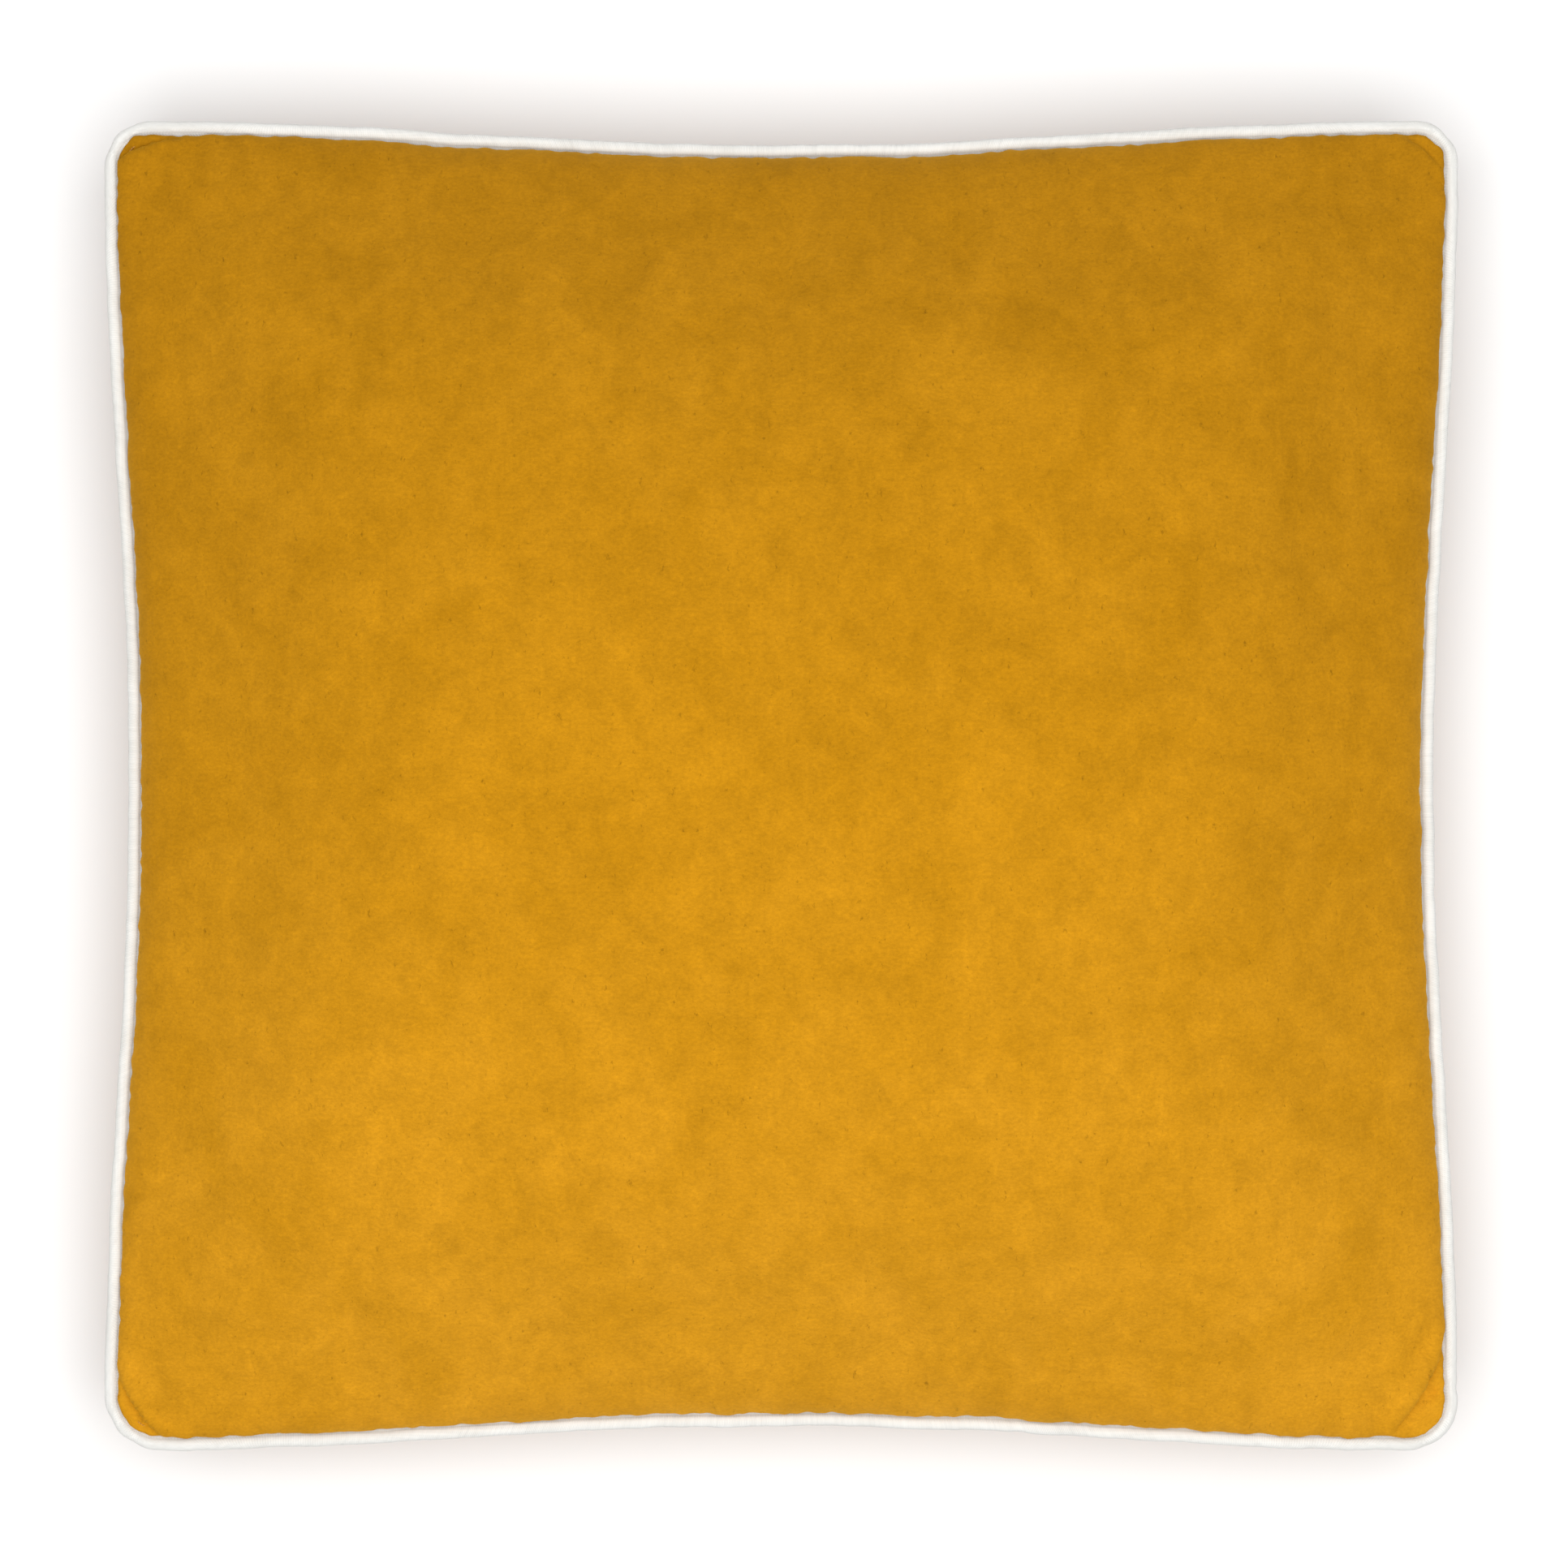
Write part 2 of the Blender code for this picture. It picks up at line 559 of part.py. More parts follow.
def stitching(line, thread):
    """Topstitching beside the slot, and a bar tack over each of its ends."""
    lift = GAP + SEAM_THREAD / 2
    for name, side in (("lower", 1), ("upper", -1)):
        centre = (side * (SLOT_HALF + STITCH_INSET), lift)
        section = circle_points(SEAM_THREAD / 2, THREAD_SIDES, centre, closed=True)
        bm = prism(section, -ZIP_HALF, ZIP_HALF, axis=0)
        add_object(f"zip_topstitch_{name}", bm, thread, smooth=True, parent=line)
    start = ZIP_HALF + ZIP_TAPER + GAP
    for name, side in (("left", -1), ("right", 1)):
        low, high = across(side, start, start + BARTACK_LENGTH)
        bm = bmesh.new()
        block(bm, (low, -BARTACK_WIDTH / 2, GAP), (high, BARTACK_WIDTH / 2, GAP + SEAM_THREAD))
        add_object(f"zip_bartack_{name}", bm, thread, parent=line)


def slider(line, metal):
    """Two plates joined by a wedge in front, with side walls over the coils and a bail for the pull."""
    half = SLIDER_LENGTH / 2
    bottom = -INNER_PLATE - SLIDER_PLATE
    bm = bmesh.new()
    block(bm, (-half, -SLIDER_HALF, bottom), (half, SLIDER_HALF, PLATE_TOP))
    upright = [edge for edge in bm.edges if abs(edge.verts[0].co.z - edge.verts[1].co.z) > SLIDER_PLATE]
    bmesh.ops.bevel(bm, geom=upright, offset=SLIDER_WALL, segments=3, profile=0.5, affect="EDGES")
    body = add_object("zip_slider", bm, metal, parent=line, location=(SLIDER_X, 0, 0))
    past = SLIDER_HALF + SLIDER_WALL
    side = [(past, -INNER_PLATE), (past, -COIL_DEPTH), (CHANNEL_HALF, -COIL_DEPTH),
            (CHANNEL_HALF, -PLATE_DEPTH)]
    outline = side + [(-y, z) for y, z in reversed(side)]
    channel = prism(outline, -SLIDER_LENGTH, SLIDER_LENGTH, axis=0)
    combine(body, add_object("slider_channel", channel, metal, parent=body), "DIFFERENCE")
    tip, wide = WEDGE_TIP, WEDGE_WIDTH / 2
    outline = [(tip, 0), (tip + WEDGE_LENGTH / 2, -wide), (half - GAP, -wide), (half - GAP, wide),
               (tip + WEDGE_LENGTH / 2, wide)]
    wedge = prism(outline, bottom + SLIDER_PLATE / 2, PLATE_TOP - SLIDER_PLATE / 2, axis=2)
    combine(body, add_object("slider_wedge", wedge, metal, parent=body), "UNION")
    combine(body, add_object("slider_bail", bail_arch(), metal, parent=body), "UNION")
    return body


def bail_arch():
    """The arch that holds the pull's bar: a half ring on two legs."""
    room = PULL_BAR / 2 + 2 * GAP
    foot = PLATE_TOP - SLIDER_PLATE / 4
    centre = (0.0, PULL_HEIGHT)
    outer = circle_points(room + BAIL_THICKNESS, 10, centre, 0, math.pi)
    inner = circle_points(room, 10, centre, math.pi, 0)
    outline = [(room + BAIL_THICKNESS, foot)] + outer + [(-room - BAIL_THICKNESS, foot), (-room, foot)]
    outline += inner + [(room, foot)]
    return prism(outline, -BAIL_WIDTH / 2, BAIL_WIDTH / 2, axis=1)


def pull(body, metal):
    """A flat tab with a window; the bar at the window's end is the hinge. It hangs along +Z."""
    reach = PULL_BAR / 2 + 2 * GAP + BAIL_THICKNESS + 2 * GAP
    window_half = BAIL_WIDTH / 2 + GAP
    radius = PULL_WIDTH / 2
    tip = circle_points(radius, 10, (0.0, PULL_LENGTH - radius), 0, math.pi)
    outline = [(-radius, -PULL_BAR / 2), (radius, -PULL_BAR / 2)] + tip
    bm = prism(outline, -PULL_BAR / 2, PULL_BAR / 2, axis=0)
    tab = add_object("zip_pull", bm, metal, parent=body, location=(0, 0, PULL_HEIGHT))
    window = bmesh.new()
    block(window, (-PULL_BAR, -window_half, PULL_BAR / 2), (PULL_BAR, window_half, reach))
    combine(tab, add_object("pull_window", window, metal, parent=tab), "DIFFERENCE")


# ---------------------------------------------------------------- the model
def build():
    clear_scene()
    velvet = make_material("velvet", (0.60, 0.27, 0.02), 0.90)
    piping_cloth = make_material("piping_cloth", (0.83, 0.77, 0.66), 0.85)
    cotton = make_material("cotton", (0.76, 0.72, 0.63), 0.90)
    ochre_thread = make_material("ochre_thread", (0.50, 0.22, 0.02), 0.60)
    white_thread = make_material("white_thread", (0.82, 0.81, 0.78), 0.60)
    tape = make_material("zip_tape", (0.47, 0.21, 0.02), 0.80)
    nylon = make_material("zip_nylon", (0.50, 0.23, 0.03), 0.40)
    metal = make_material("zip_metal", (0.62, 0.60, 0.56), 0.30, metallic=1.0)
    ticking = make_material("ticking", (0.82, 0.82, 0.80), 0.85)
    fibre = make_material("fibre", (0.88, 0.88, 0.87), 0.95)
    label = make_material("label", (0.85, 0.85, 0.83), 0.50)

    front_panel(velvet)
    back_panels(velvet)
    piping(piping_cloth, cotton)
    seam_threads(ochre_thread, white_thread)
    insert_shells(ticking)
    insert_filling(fibre)
    labels(label)
    line = zip_frame()
    tapes_and_coils(line, tape, nylon)
    stops(line, metal)
    stitching(line, ochre_thread)
    pull(slider(line, metal), metal)


build()
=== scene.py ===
# %% [markdown]
# # A velvet throw pillow
# This is a square throw pillow: a velvet cover with a piped edge, a zip along the bottom of the back, and a
# fibre-filled insert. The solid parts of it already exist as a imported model, which is loaded first as the
# frame. Each soft piece is then made again with real folds, stitches and cloth finishes in the same place.

import json
import math

import bmesh
import bpy
import numpy as np
from mathutils import Matrix, Vector, noise


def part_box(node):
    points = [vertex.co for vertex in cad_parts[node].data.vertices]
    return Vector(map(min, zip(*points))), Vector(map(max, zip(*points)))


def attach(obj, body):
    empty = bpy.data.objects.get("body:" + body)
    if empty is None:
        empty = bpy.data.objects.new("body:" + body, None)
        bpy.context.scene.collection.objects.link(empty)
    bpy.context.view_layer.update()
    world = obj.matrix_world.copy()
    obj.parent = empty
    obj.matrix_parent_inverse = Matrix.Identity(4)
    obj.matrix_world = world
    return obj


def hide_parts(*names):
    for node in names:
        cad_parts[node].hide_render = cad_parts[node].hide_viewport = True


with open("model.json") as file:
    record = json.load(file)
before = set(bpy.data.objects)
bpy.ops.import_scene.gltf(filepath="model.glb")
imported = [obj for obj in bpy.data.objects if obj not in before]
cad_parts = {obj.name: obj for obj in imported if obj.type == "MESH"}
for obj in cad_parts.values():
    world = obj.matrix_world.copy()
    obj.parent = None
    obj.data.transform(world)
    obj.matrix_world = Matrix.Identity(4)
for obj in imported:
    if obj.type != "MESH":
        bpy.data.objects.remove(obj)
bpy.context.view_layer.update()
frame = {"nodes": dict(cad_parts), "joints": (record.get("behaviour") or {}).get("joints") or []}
scene = bpy.context.scene

# %% [markdown]
# ## Sizes from the frame
# The pieces must sit exactly where the solid model has them. The crown, the level of the seam and, further
# down, the zip's axes and coils are measured on it. The other sizes are the ones that it was made with.

# %% Sizes of the pillow
MM = 0.001
piping_low, piping_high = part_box("piping_cover")
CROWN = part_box("front_panel")[1][2]     # the highest point of the front
SEAM = (piping_low[2] + piping_high[2]) / 2
PIPING_RADIUS = 2.5 * MM
PIPING_REACH = 2.8 * MM                 # from the seam out to the piping's centre
WIDTH, HEIGHT = 0.508, 0.499            # over the piping, corner to corner
HALF_X = WIDTH / 2 - PIPING_REACH - PIPING_RADIUS
HALF_Y = HEIGHT / 2 - PIPING_REACH - PIPING_RADIUS
CORNER = 17 * MM                        # the solid model's corner radius
# the four corners of the sewn cover, by the sign of x and y
CORNERS = {(-1, 1): 11.5 * MM, (1, 1): 10.5 * MM, (-1, -1): 15.5 * MM, (1, -1): 13.5 * MM}
PULL_IN = 9.5 * MM                      # how far the middle of each side draws in
FLANK = 66 * MM                         # width of the rounded flank underneath
VELVET = 1.0 * MM                       # thickness of the cloth with its pile
ZIP_BAND = (17 * MM, 41.4 * MM)         # straight band for the zip, in from the bottom seam
print("half width", round(HALF_X, 4), "half height", round(HALF_Y, 4), "seam level", round(SEAM, 4))

# %% [markdown]
# ## Small helpers
# A sheet of cloth starts as bmesh's grid, whose points are then moved to their places. A cord is the same
# grid rolled up: its two long edges and its ends meet and are merged. Every piece is added with one call,
# which says which body carries it, which solid it stands for and which finish it takes.

# %% Helpers for meshes
finishes = {}


def laid_sheet(columns, rows, place):
    """A grid of columns x rows cells; place(u, v) says where a point goes, with u and v from -1 to 1."""
    bm = bmesh.new()
    bmesh.ops.create_grid(bm, x_segments=columns, y_segments=rows, size=1)
    for vert in bm.verts:
        vert.co = place(vert.co.x, vert.co.y)
    return bm


def rolled_up(columns, rows, place, closed_ends=False):
    """A tube: the sheet's long edges meet. With closed_ends its two ends are filled."""
    bm = laid_sheet(columns, rows, place)
    bmesh.ops.remove_doubles(bm, verts=bm.verts, dist=1e-7)
    if closed_ends:
        bmesh.ops.holes_fill(bm, edges=[edge for edge in bm.edges if edge.is_boundary], sides=0)
    return bm


def face_outwards(bm):
    bmesh.ops.recalc_face_normals(bm, faces=bm.faces)
    if bm.calc_volume(signed=True) < 0:
        bmesh.ops.reverse_faces(bm, faces=bm.faces)


def into_mesh(name, bm):
    mesh = bpy.data.meshes.new(name)
    bm.to_mesh(mesh)
    bm.free()
    return mesh


def put(name, data):
    """Adds an object to the scene."""
    thing = bpy.data.objects.new(name, data)
    scene.collection.objects.link(thing)
    return thing


def join_in(whole, bm):
    """Adds one bmesh to another."""
    mesh = into_mesh("part", bm)
    whole.from_mesh(mesh)
    bpy.data.meshes.remove(mesh)


def lay_uv(bm, spot):
    """Writes a UV map: spot(vert) says where each vertex lies on the cloth, in metres."""
    pattern = bm.loops.layers.uv.verify()
    for face in bm.faces:
        for loop in face.loops:
            loop[pattern].uv = spot(loop.vert)


def add_piece(name, bm, finish, stands_for, thickness=None):
    """Turns a bmesh into a piece of the pillow that stands for one solid."""
    mesh = into_mesh(name, bm)
    mesh.shade_smooth()
    piece = put(name, mesh)
    mesh.materials.append(finishes[finish])
    if thickness:
        wall = piece.modifiers.new("thickness", "SOLIDIFY")
        wall.thickness, wall.offset = thickness, -1
        wall.use_even_offset = False
    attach(piece, "cushion")
    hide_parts(stands_for)
    print(name, len(mesh.polygons), "faces")
    return piece


def smooth_step(low, high, value):
    share = np.clip((np.asarray(value, dtype=float) - low) / (high - low), 0, 1)
    return share * share * (3 - 2 * share)


def wave(x, y, scale, seed):
    """Smooth noise between about -1 and 1, with bumps about `scale` metres apart."""
    return noise.noise((x / scale, y / scale, seed))


# %% [markdown]
# ## Finishes
# Velvet is a cut pile: upright fibres that scatter light sideways, so it glows at grazing angles and looks
# patchy where the pile leans one way or the other. The sheen lobe of the Principled shader gives the glow,
# and noise at several scales gives the leaning patches, the fine streaks of the nap and the tiny specks.
# The other cloths are woven: two crossed bands of waves make warp and weft, and they also drive the bump.
# Patterns follow the cloth, so they read a UV map laid out in metres wherever the cloth bends.

# %% Helpers for finishes
class Finish:
    """A Principled material, with short calls to add and join its nodes."""

    def __init__(self, name, colour, roughness, metallic=0.0):
        self.material = bpy.data.materials.new(name)
        self.material.use_nodes = True
        self.nodes = self.material.node_tree.nodes
        self.links = self.material.node_tree.links
        self.shader = self.nodes["Principled BSDF"]
        self.shader.inputs["Base Color"].default_value = (*colour, 1)
        self.shader.inputs["Roughness"].default_value = roughness
        self.shader.inputs["Metallic"].default_value = metallic
        self.material.diffuse_color = (*colour, 1)
        finishes[name] = self.material

    def place(self, source, scale=(1, 1, 1), turn=0.0):
        """Coordinates from the piece's UV map or its own object space, scaled and turned."""
        coordinates = self.nodes.new("ShaderNodeTexCoord")
        mapping = self.nodes.new("ShaderNodeMapping")
        mapping.inputs["Scale"].default_value = scale
        mapping.inputs["Rotation"].default_value = (0, 0, turn)
        self.links.new(coordinates.outputs[source], mapping.inputs["Vector"])
        return mapping.outputs["Vector"]

    def part(self, where, axis):
        """One axis of a place."""
        node = self.nodes.new("ShaderNodeSeparateXYZ")
        self.links.new(where, node.inputs["Vector"])
        return node.outputs[axis]

    def cloud(self, where, scale, detail=3.0, roughness=0.55, distortion=0.0):
        node = self.nodes.new("ShaderNodeTexNoise")
        node.inputs["Scale"].default_value = scale
        node.inputs["Detail"].default_value = detail
        node.inputs["Roughness"].default_value = roughness
        node.inputs["Distortion"].default_value = distortion
        self.links.new(where, node.inputs["Vector"])
        return node.outputs["Fac"]

    def stripes(self, where, scale, direction, distortion=0.0):
        node = self.nodes.new("ShaderNodeTexWave")
        node.bands_direction = direction
        node.inputs["Scale"].default_value = scale
        node.inputs["Distortion"].default_value = distortion
        node.inputs["Detail"].default_value = 1.0
        self.links.new(where, node.inputs["Vector"])
        return node.outputs["Fac"]

    def sum(self, first, second, how="ADD"):
        node = self.nodes.new("ShaderNodeMath")
        node.operation = how
        for socket, value in zip(node.inputs, (first, second)):
            if isinstance(value, (int, float)):
                socket.default_value = value
            else:
                self.links.new(value, socket)
        return node.outputs["Value"]

    def blend_colours(self, factor, stops):
        """A colour ramp through (position, colour) stops."""
        ramp = self.nodes.new("ShaderNodeValToRGB")
        elements = ramp.color_ramp.elements
        while len(elements) < len(stops):
            elements.new(0.5)
        for element, (position, colour) in zip(elements, stops):
            element.position, element.color = position, (*colour, 1)
        self.links.new(factor, ramp.inputs["Fac"])
        return ramp.outputs["Color"]

    def tint(self, colour, factor, stops):
        """Multiplies a colour by a ramp."""
        mix = self.nodes.new("ShaderNodeMix")
        mix.data_type, mix.blend_type = "RGBA", "MULTIPLY"
        mix.inputs["Factor"].default_value = 1.0
        self.links.new(colour, mix.inputs["A"])
        self.links.new(self.blend_colours(factor, stops), mix.inputs["B"])
        return mix.outputs["Result"]

    def colour(self, socket):
        self.links.new(socket, self.shader.inputs["Base Color"])

    def bump(self, height, strength, distance, under=None):
        node = self.nodes.new("ShaderNodeBump")
        node.inputs["Strength"].default_value = strength
        node.inputs["Distance"].default_value = distance
        self.links.new(height, node.inputs["Height"])
        if under:
            self.links.new(under, node.inputs["Normal"])
        self.links.new(node.outputs["Normal"], self.shader.inputs["Normal"])
        return node.outputs["Normal"]

    def sheen(self, weight, roughness, tint):
        self.shader.inputs["Sheen Weight"].default_value = weight
        self.shader.inputs["Sheen Roughness"].default_value = roughness
        self.shader.inputs["Sheen Tint"].default_value = (*tint, 1)


def shade(value):
    return (value, value, value)


# %% The velvet
def make_velvet():
    velvet = Finish("velvet", (0.42, 0.175, 0.0015), 0.9)
    velvet.shader.inputs["Specular IOR Level"].default_value = 0.06
    velvet.sheen(0.30, 0.45, (1.0, 0.55, 0.04))
    cloth = velvet.place("UV")
    patches = velvet.cloud(cloth, 22, detail=4, distortion=0.8)
    crushed = velvet.cloud(velvet.place("UV", scale=(1, 0.8, 1)), 85,
                           detail=6, roughness=0.65, distortion=0.6)
    brushed = velvet.cloud(velvet.place("UV", scale=(0.8, 1, 1)), 240,
                           detail=5, roughness=0.7, distortion=0.4)
    nap = velvet.cloud(velvet.place("UV", scale=(0.7, 1, 1)), 900, detail=3, roughness=0.75)
    specks = velvet.cloud(velvet.place("UV", scale=(1, 0.55, 1)), 420, detail=3, roughness=0.75)
    colour = velvet.blend_colours(patches, [(0.30, (0.640, 0.285, 0.0080)), (0.70, (0.755, 0.342, 0.0150))])
    colour = velvet.tint(colour, crushed, [(0.30, shade(0.84)), (0.68, shade(1.0))])
    colour = velvet.tint(colour, brushed, [(0.28, shade(0.86)), (0.70, shade(1.0))])
    colour = velvet.tint(colour, nap, [(0.25, shade(0.74)), (0.75, shade(1.0))])
    colour = velvet.tint(colour, specks, [(0.26, shade(0.62)), (0.38, shade(1.0))])
    # painted shade and light: the colour is darkened and made less blue towards the top edge, so the lower
    # edge looks lit and the top looks shaded
    share_up = velvet.sum(velvet.sum(velvet.part(cloth, "Y"), 2.0, "MULTIPLY"), 0.5)
    painted_shade_ramp = [(0.0, (1.0, 1.0, 1.0)), (0.5, (0.82, 0.80, 0.42)), (1.0, (0.70, 0.68, 0.40))]
    colour = velvet.tint(colour, share_up, painted_shade_ramp)
    velvet.colour(colour)
    leaning = velvet.bump(crushed, 0.30, 1.2 * MM)
    pile = velvet.sum(nap, velvet.sum(brushed, 0.8, "MULTIPLY"))
    velvet.bump(pile, 0.40, 0.40 * MM, under=leaning)


make_velvet()


# %% The woven cloths
def make_woven(name, dark, light, roughness, threads, slant=0.0, sheen=0.2, bump=0.35):
    """Plain weave: `threads` threads to the metre in both directions."""
    cloth = Finish(name, light, roughness)
    cloth.shader.inputs["Specular IOR Level"].default_value = 0.25
    cloth.sheen(sheen, 0.5, (1.0, 1.0, 1.0))
    place = cloth.place("UV", turn=slant)
    scale = threads * math.tau / 20      # the wave node turns 20 radians for every unit
    warp = cloth.stripes(place, scale, "X", distortion=0.6)
    weft = cloth.stripes(place, scale, "Y", distortion=0.6)
    weave = cloth.sum(warp, weft, "MAXIMUM")
    slubs = cloth.cloud(place, threads / 3, detail=3)
    fuzz = cloth.cloud(place, threads * 1.7, detail=3)
    colour = cloth.blend_colours(cloth.cloud(place, 60, detail=3), [(0.3, dark), (0.7, light)])
    colour = cloth.tint(colour, weave, [(0.2, shade(0.86)), (0.8, shade(1.0))])
    colour = cloth.tint(colour, slubs, [(0.3, shade(0.93)), (0.6, shade(1.0))])
    cloth.colour(colour)
    cloth.bump(cloth.sum(weave, fuzz), bump, 0.25 * MM)
    return cloth


make_woven("piping_cloth", (0.70, 0.69, 0.655), (0.765, 0.76, 0.73), 0.92, 1900, math.radians(45), 0.15)
make_woven("cotton", (0.66, 0.62, 0.54), (0.80, 0.77, 0.70), 0.95, 1200, math.radians(30))
make_woven("ticking", (0.78, 0.78, 0.76), (0.86, 0.86, 0.84), 0.85, 1800)
make_woven("zip_tape", (0.36, 0.150, 0.008), (0.50, 0.215, 0.012), 0.85, 1500, math.radians(45))
make_woven("label", (0.80, 0.80, 0.78), (0.88, 0.88, 0.86), 0.45, 2600, 0.0, 0.4, 0.2)


# %% Threads, fibre, nylon and metal
def make_thread(name, dark, light):
    """A twisted thread: stripes at a slant to its length."""
    thread = Finish(name, light, 0.55)
    twist = thread.stripes(thread.place("UV", turn=math.radians(35)), 420, "X")
    thread.colour(thread.blend_colours(twist, [(0.2, dark), (0.8, light)]))
    thread.bump(twist, 0.5, 0.1 * MM)
    thread.sheen(0.2, 0.4, (1, 1, 1))


make_thread("ochre_thread", (0.34, 0.14, 0.006), (0.56, 0.25, 0.015))
make_thread("white_thread", (0.66, 0.65, 0.62), (0.86, 0.85, 0.82))


def make_fibre():
    fibre = Finish("fibre", (0.88, 0.88, 0.87), 0.95)
    tufts = fibre.cloud(fibre.place("Object"), 60, detail=6, distortion=1.5)
    strands = fibre.cloud(fibre.place("Object", scale=(1, 4, 1)), 300, detail=5, distortion=2.0)
    fibre.colour(fibre.blend_colours(tufts, [(0.3, (0.80, 0.80, 0.79)), (0.7, (0.92, 0.92, 0.91))]))
    fibre.bump(fibre.sum(tufts, strands), 0.8, 2 * MM)
    fibre.sheen(0.5, 0.6, (1, 1, 1))


def make_nylon():
    nylon = Finish("zip_nylon", (0.42, 0.18, 0.010), 0.38)
    mottle = nylon.cloud(nylon.place("Object"), 700, detail=2)
    nylon.colour(nylon.blend_colours(mottle, [(0.3, (0.36, 0.150, 0.008)), (0.7, (0.48, 0.21, 0.014))]))
    nylon.bump(mottle, 0.1, 0.05 * MM)


def make_metal():
    metal = Finish("zip_metal", (0.62, 0.58, 0.50), 0.32, metallic=1.0)
    strokes = metal.cloud(metal.place("Object", scale=(1, 12, 12)), 260, detail=4)
    wear = metal.cloud(metal.place("Object"), 420, detail=3)
    metal.colour(metal.blend_colours(wear, [(0.35, (0.50, 0.46, 0.39)), (0.65, (0.70, 0.66, 0.58))]))
    rough = metal.nodes.new("ShaderNodeMapRange")
    rough.inputs["To Min"].default_value, rough.inputs["To Max"].default_value = 0.25, 0.45
    metal.links.new(strokes, rough.inputs["Value"])
    metal.links.new(rough.outputs["Result"], metal.shader.inputs["Roughness"])
    metal.bump(strokes, 0.15, 0.05 * MM)


make_fibre()
make_nylon()
make_metal()
print(len(finishes), "finishes")

# %% [markdown]
# ## The pillow's form
# Sewn flat and then stuffed, a square cover crowns in the middle while its sides draw in between the
# corners. The form is given over the flat cut of the cloth: for every point (x, y) of the cut, `seam_plan`
# says where it lies in plan, and the two height curves say how high it lies in front and behind.
# Underneath, the pillow lies flat, with a rounded flank, and a straight band along the bottom for the zip.

# %% Plan and height
def corner_radius(x, y):
    """No two corners of a sewn cover are quite alike."""
    upper = np.where(x < 0, CORNERS[-1, 1], CORNERS[1, 1])
    lower = np.where(x < 0, CORNERS[-1, -1], CORNERS[1, -1])
    return np.where(y < 0, lower, upper)


def seam_wander(along, side):
    """A hand-guided seam is never quite even: it wanders in and out by some tenths of a millimetre."""
    along, side = np.broadcast_arrays(np.atleast_1d(along), np.atleast_1d(side))
    slow = np.array([wave(a, 0.0, 34 * MM, 11.0 + s) + 0.6 * wave(a, 0.0, 13 * MM, 31.0 + s)
                     for a, s in zip(along.ravel(), side.ravel())]).reshape(along.shape)
    return 0.55 * MM * slow * (1 - smooth_step(0.225, 0.243, np.abs(along))) - 0.25 * MM


DRAW_REACH = 90 * MM                    # how far in from the seam the draw-in is felt
WANDER_REACH = 16 * MM


def seam_plan(x, y, reach_y=DRAW_REACH, power_y=2):
    """Plan position of a point of the cut. The draw-in fades out over the reach in from the seam."""
    corner = corner_radius(x, y)
    straight_x, straight_y = HALF_X - corner, HALF_Y - corner
    over_x = np.maximum(0, np.abs(x) - straight_x) / corner
    over_y = np.maximum(0, np.abs(y) - straight_y) / corner
    out_x = np.minimum(np.abs(x), straight_x) + corner * over_x * np.sqrt(1 - over_y ** 2 / 2)
    out_y = np.minimum(np.abs(y), straight_y) + corner * over_y * np.sqrt(1 - over_x ** 2 / 2)
    fade_x = np.clip(1 - (HALF_X - np.abs(x)) / DRAW_REACH, 0, 1) ** 2
    fade_y = np.clip(1 - (HALF_Y - np.abs(y)) / reach_y, 0, 1) ** power_y
    out_x = out_x - PULL_IN * fade_x * np.cos(math.pi / 2 * y / HALF_Y) ** 2
    out_y = out_y - PULL_IN * fade_y * np.cos(math.pi / 2 * x / HALF_X) ** 2
    wander_x, wander_y = seam_wander(y, np.sign(x)), seam_wander(x, np.sign(y) * 2)
    out_x = out_x + wander_x * np.clip(1 - (HALF_X - np.abs(x)) / WANDER_REACH, 0, 1)
    out_y = out_y + wander_y * np.clip(1 - (HALF_Y - np.abs(y)) / WANDER_REACH, 0, 1)
    return np.copysign(out_x, x), np.copysign(out_y, y)


def crown_rise(share):
    return (1 - np.minimum(1, np.abs(share)) ** 2.3) ** 0.62


def flank_drop(inward):
    rest = np.clip(1 - inward / FLANK, 0, 1)
    return (1 - rest ** 2) ** 0.75


def zip_side_drop(y):
    inward = HALF_Y - np.abs(y)
    start, end = (flank_drop(edge) for edge in ZIP_BAND)
    share = (inward - ZIP_BAND[0]) / (ZIP_BAND[1] - ZIP_BAND[0])
    on_band = (y < 0) & (share > 0) & (share < 1)
    return np.where(on_band, start + share * (end - start), flank_drop(inward))


def front_height(x, y, rim, crown=CROWN):
    return SEAM + rim + (crown - SEAM - rim) * crown_rise(x / HALF_X) * crown_rise(y / HALF_Y)


def back_height(x, y, rim):
    return (SEAM - rim) * (1 - flank_drop(HALF_X - np.abs(x)) * zip_side_drop(y))


def back_plan(x, y):
    """The back's plan, whose draw-in at the bottom stops short of the zip."""
    return seam_plan(x, y, np.where(y < 0, CORNER, DRAW_REACH), np.where(y < 0, 1, 2))


# %% [markdown]
# ## Stuffing the cover
# The wrinkles of a stuffed cover come from cloth that is too long for the curve it has to follow. A cloth
# simulation finds them: both panels are joined at the seam, the seam and the zip's band are pinned, the
# cloth is let out by a few hundredths with a negative shrink, and pressure from inside pushes it out.
# Gravity stays off, because pressure does the work, and a collision floor keeps the back flat.
# Only the movement is kept, as one array for each side, and it is capped before it is used.

# %% Simulate the cover
CELLS = 100
LET_OUT = 0.022
PRESSURE = 4.0
STEPS = 24
MOVE_CAP = 30 * MM
SLACK_CROWN = CROWN - 14 * MM           # the cover starts less full, because the pressure fills it


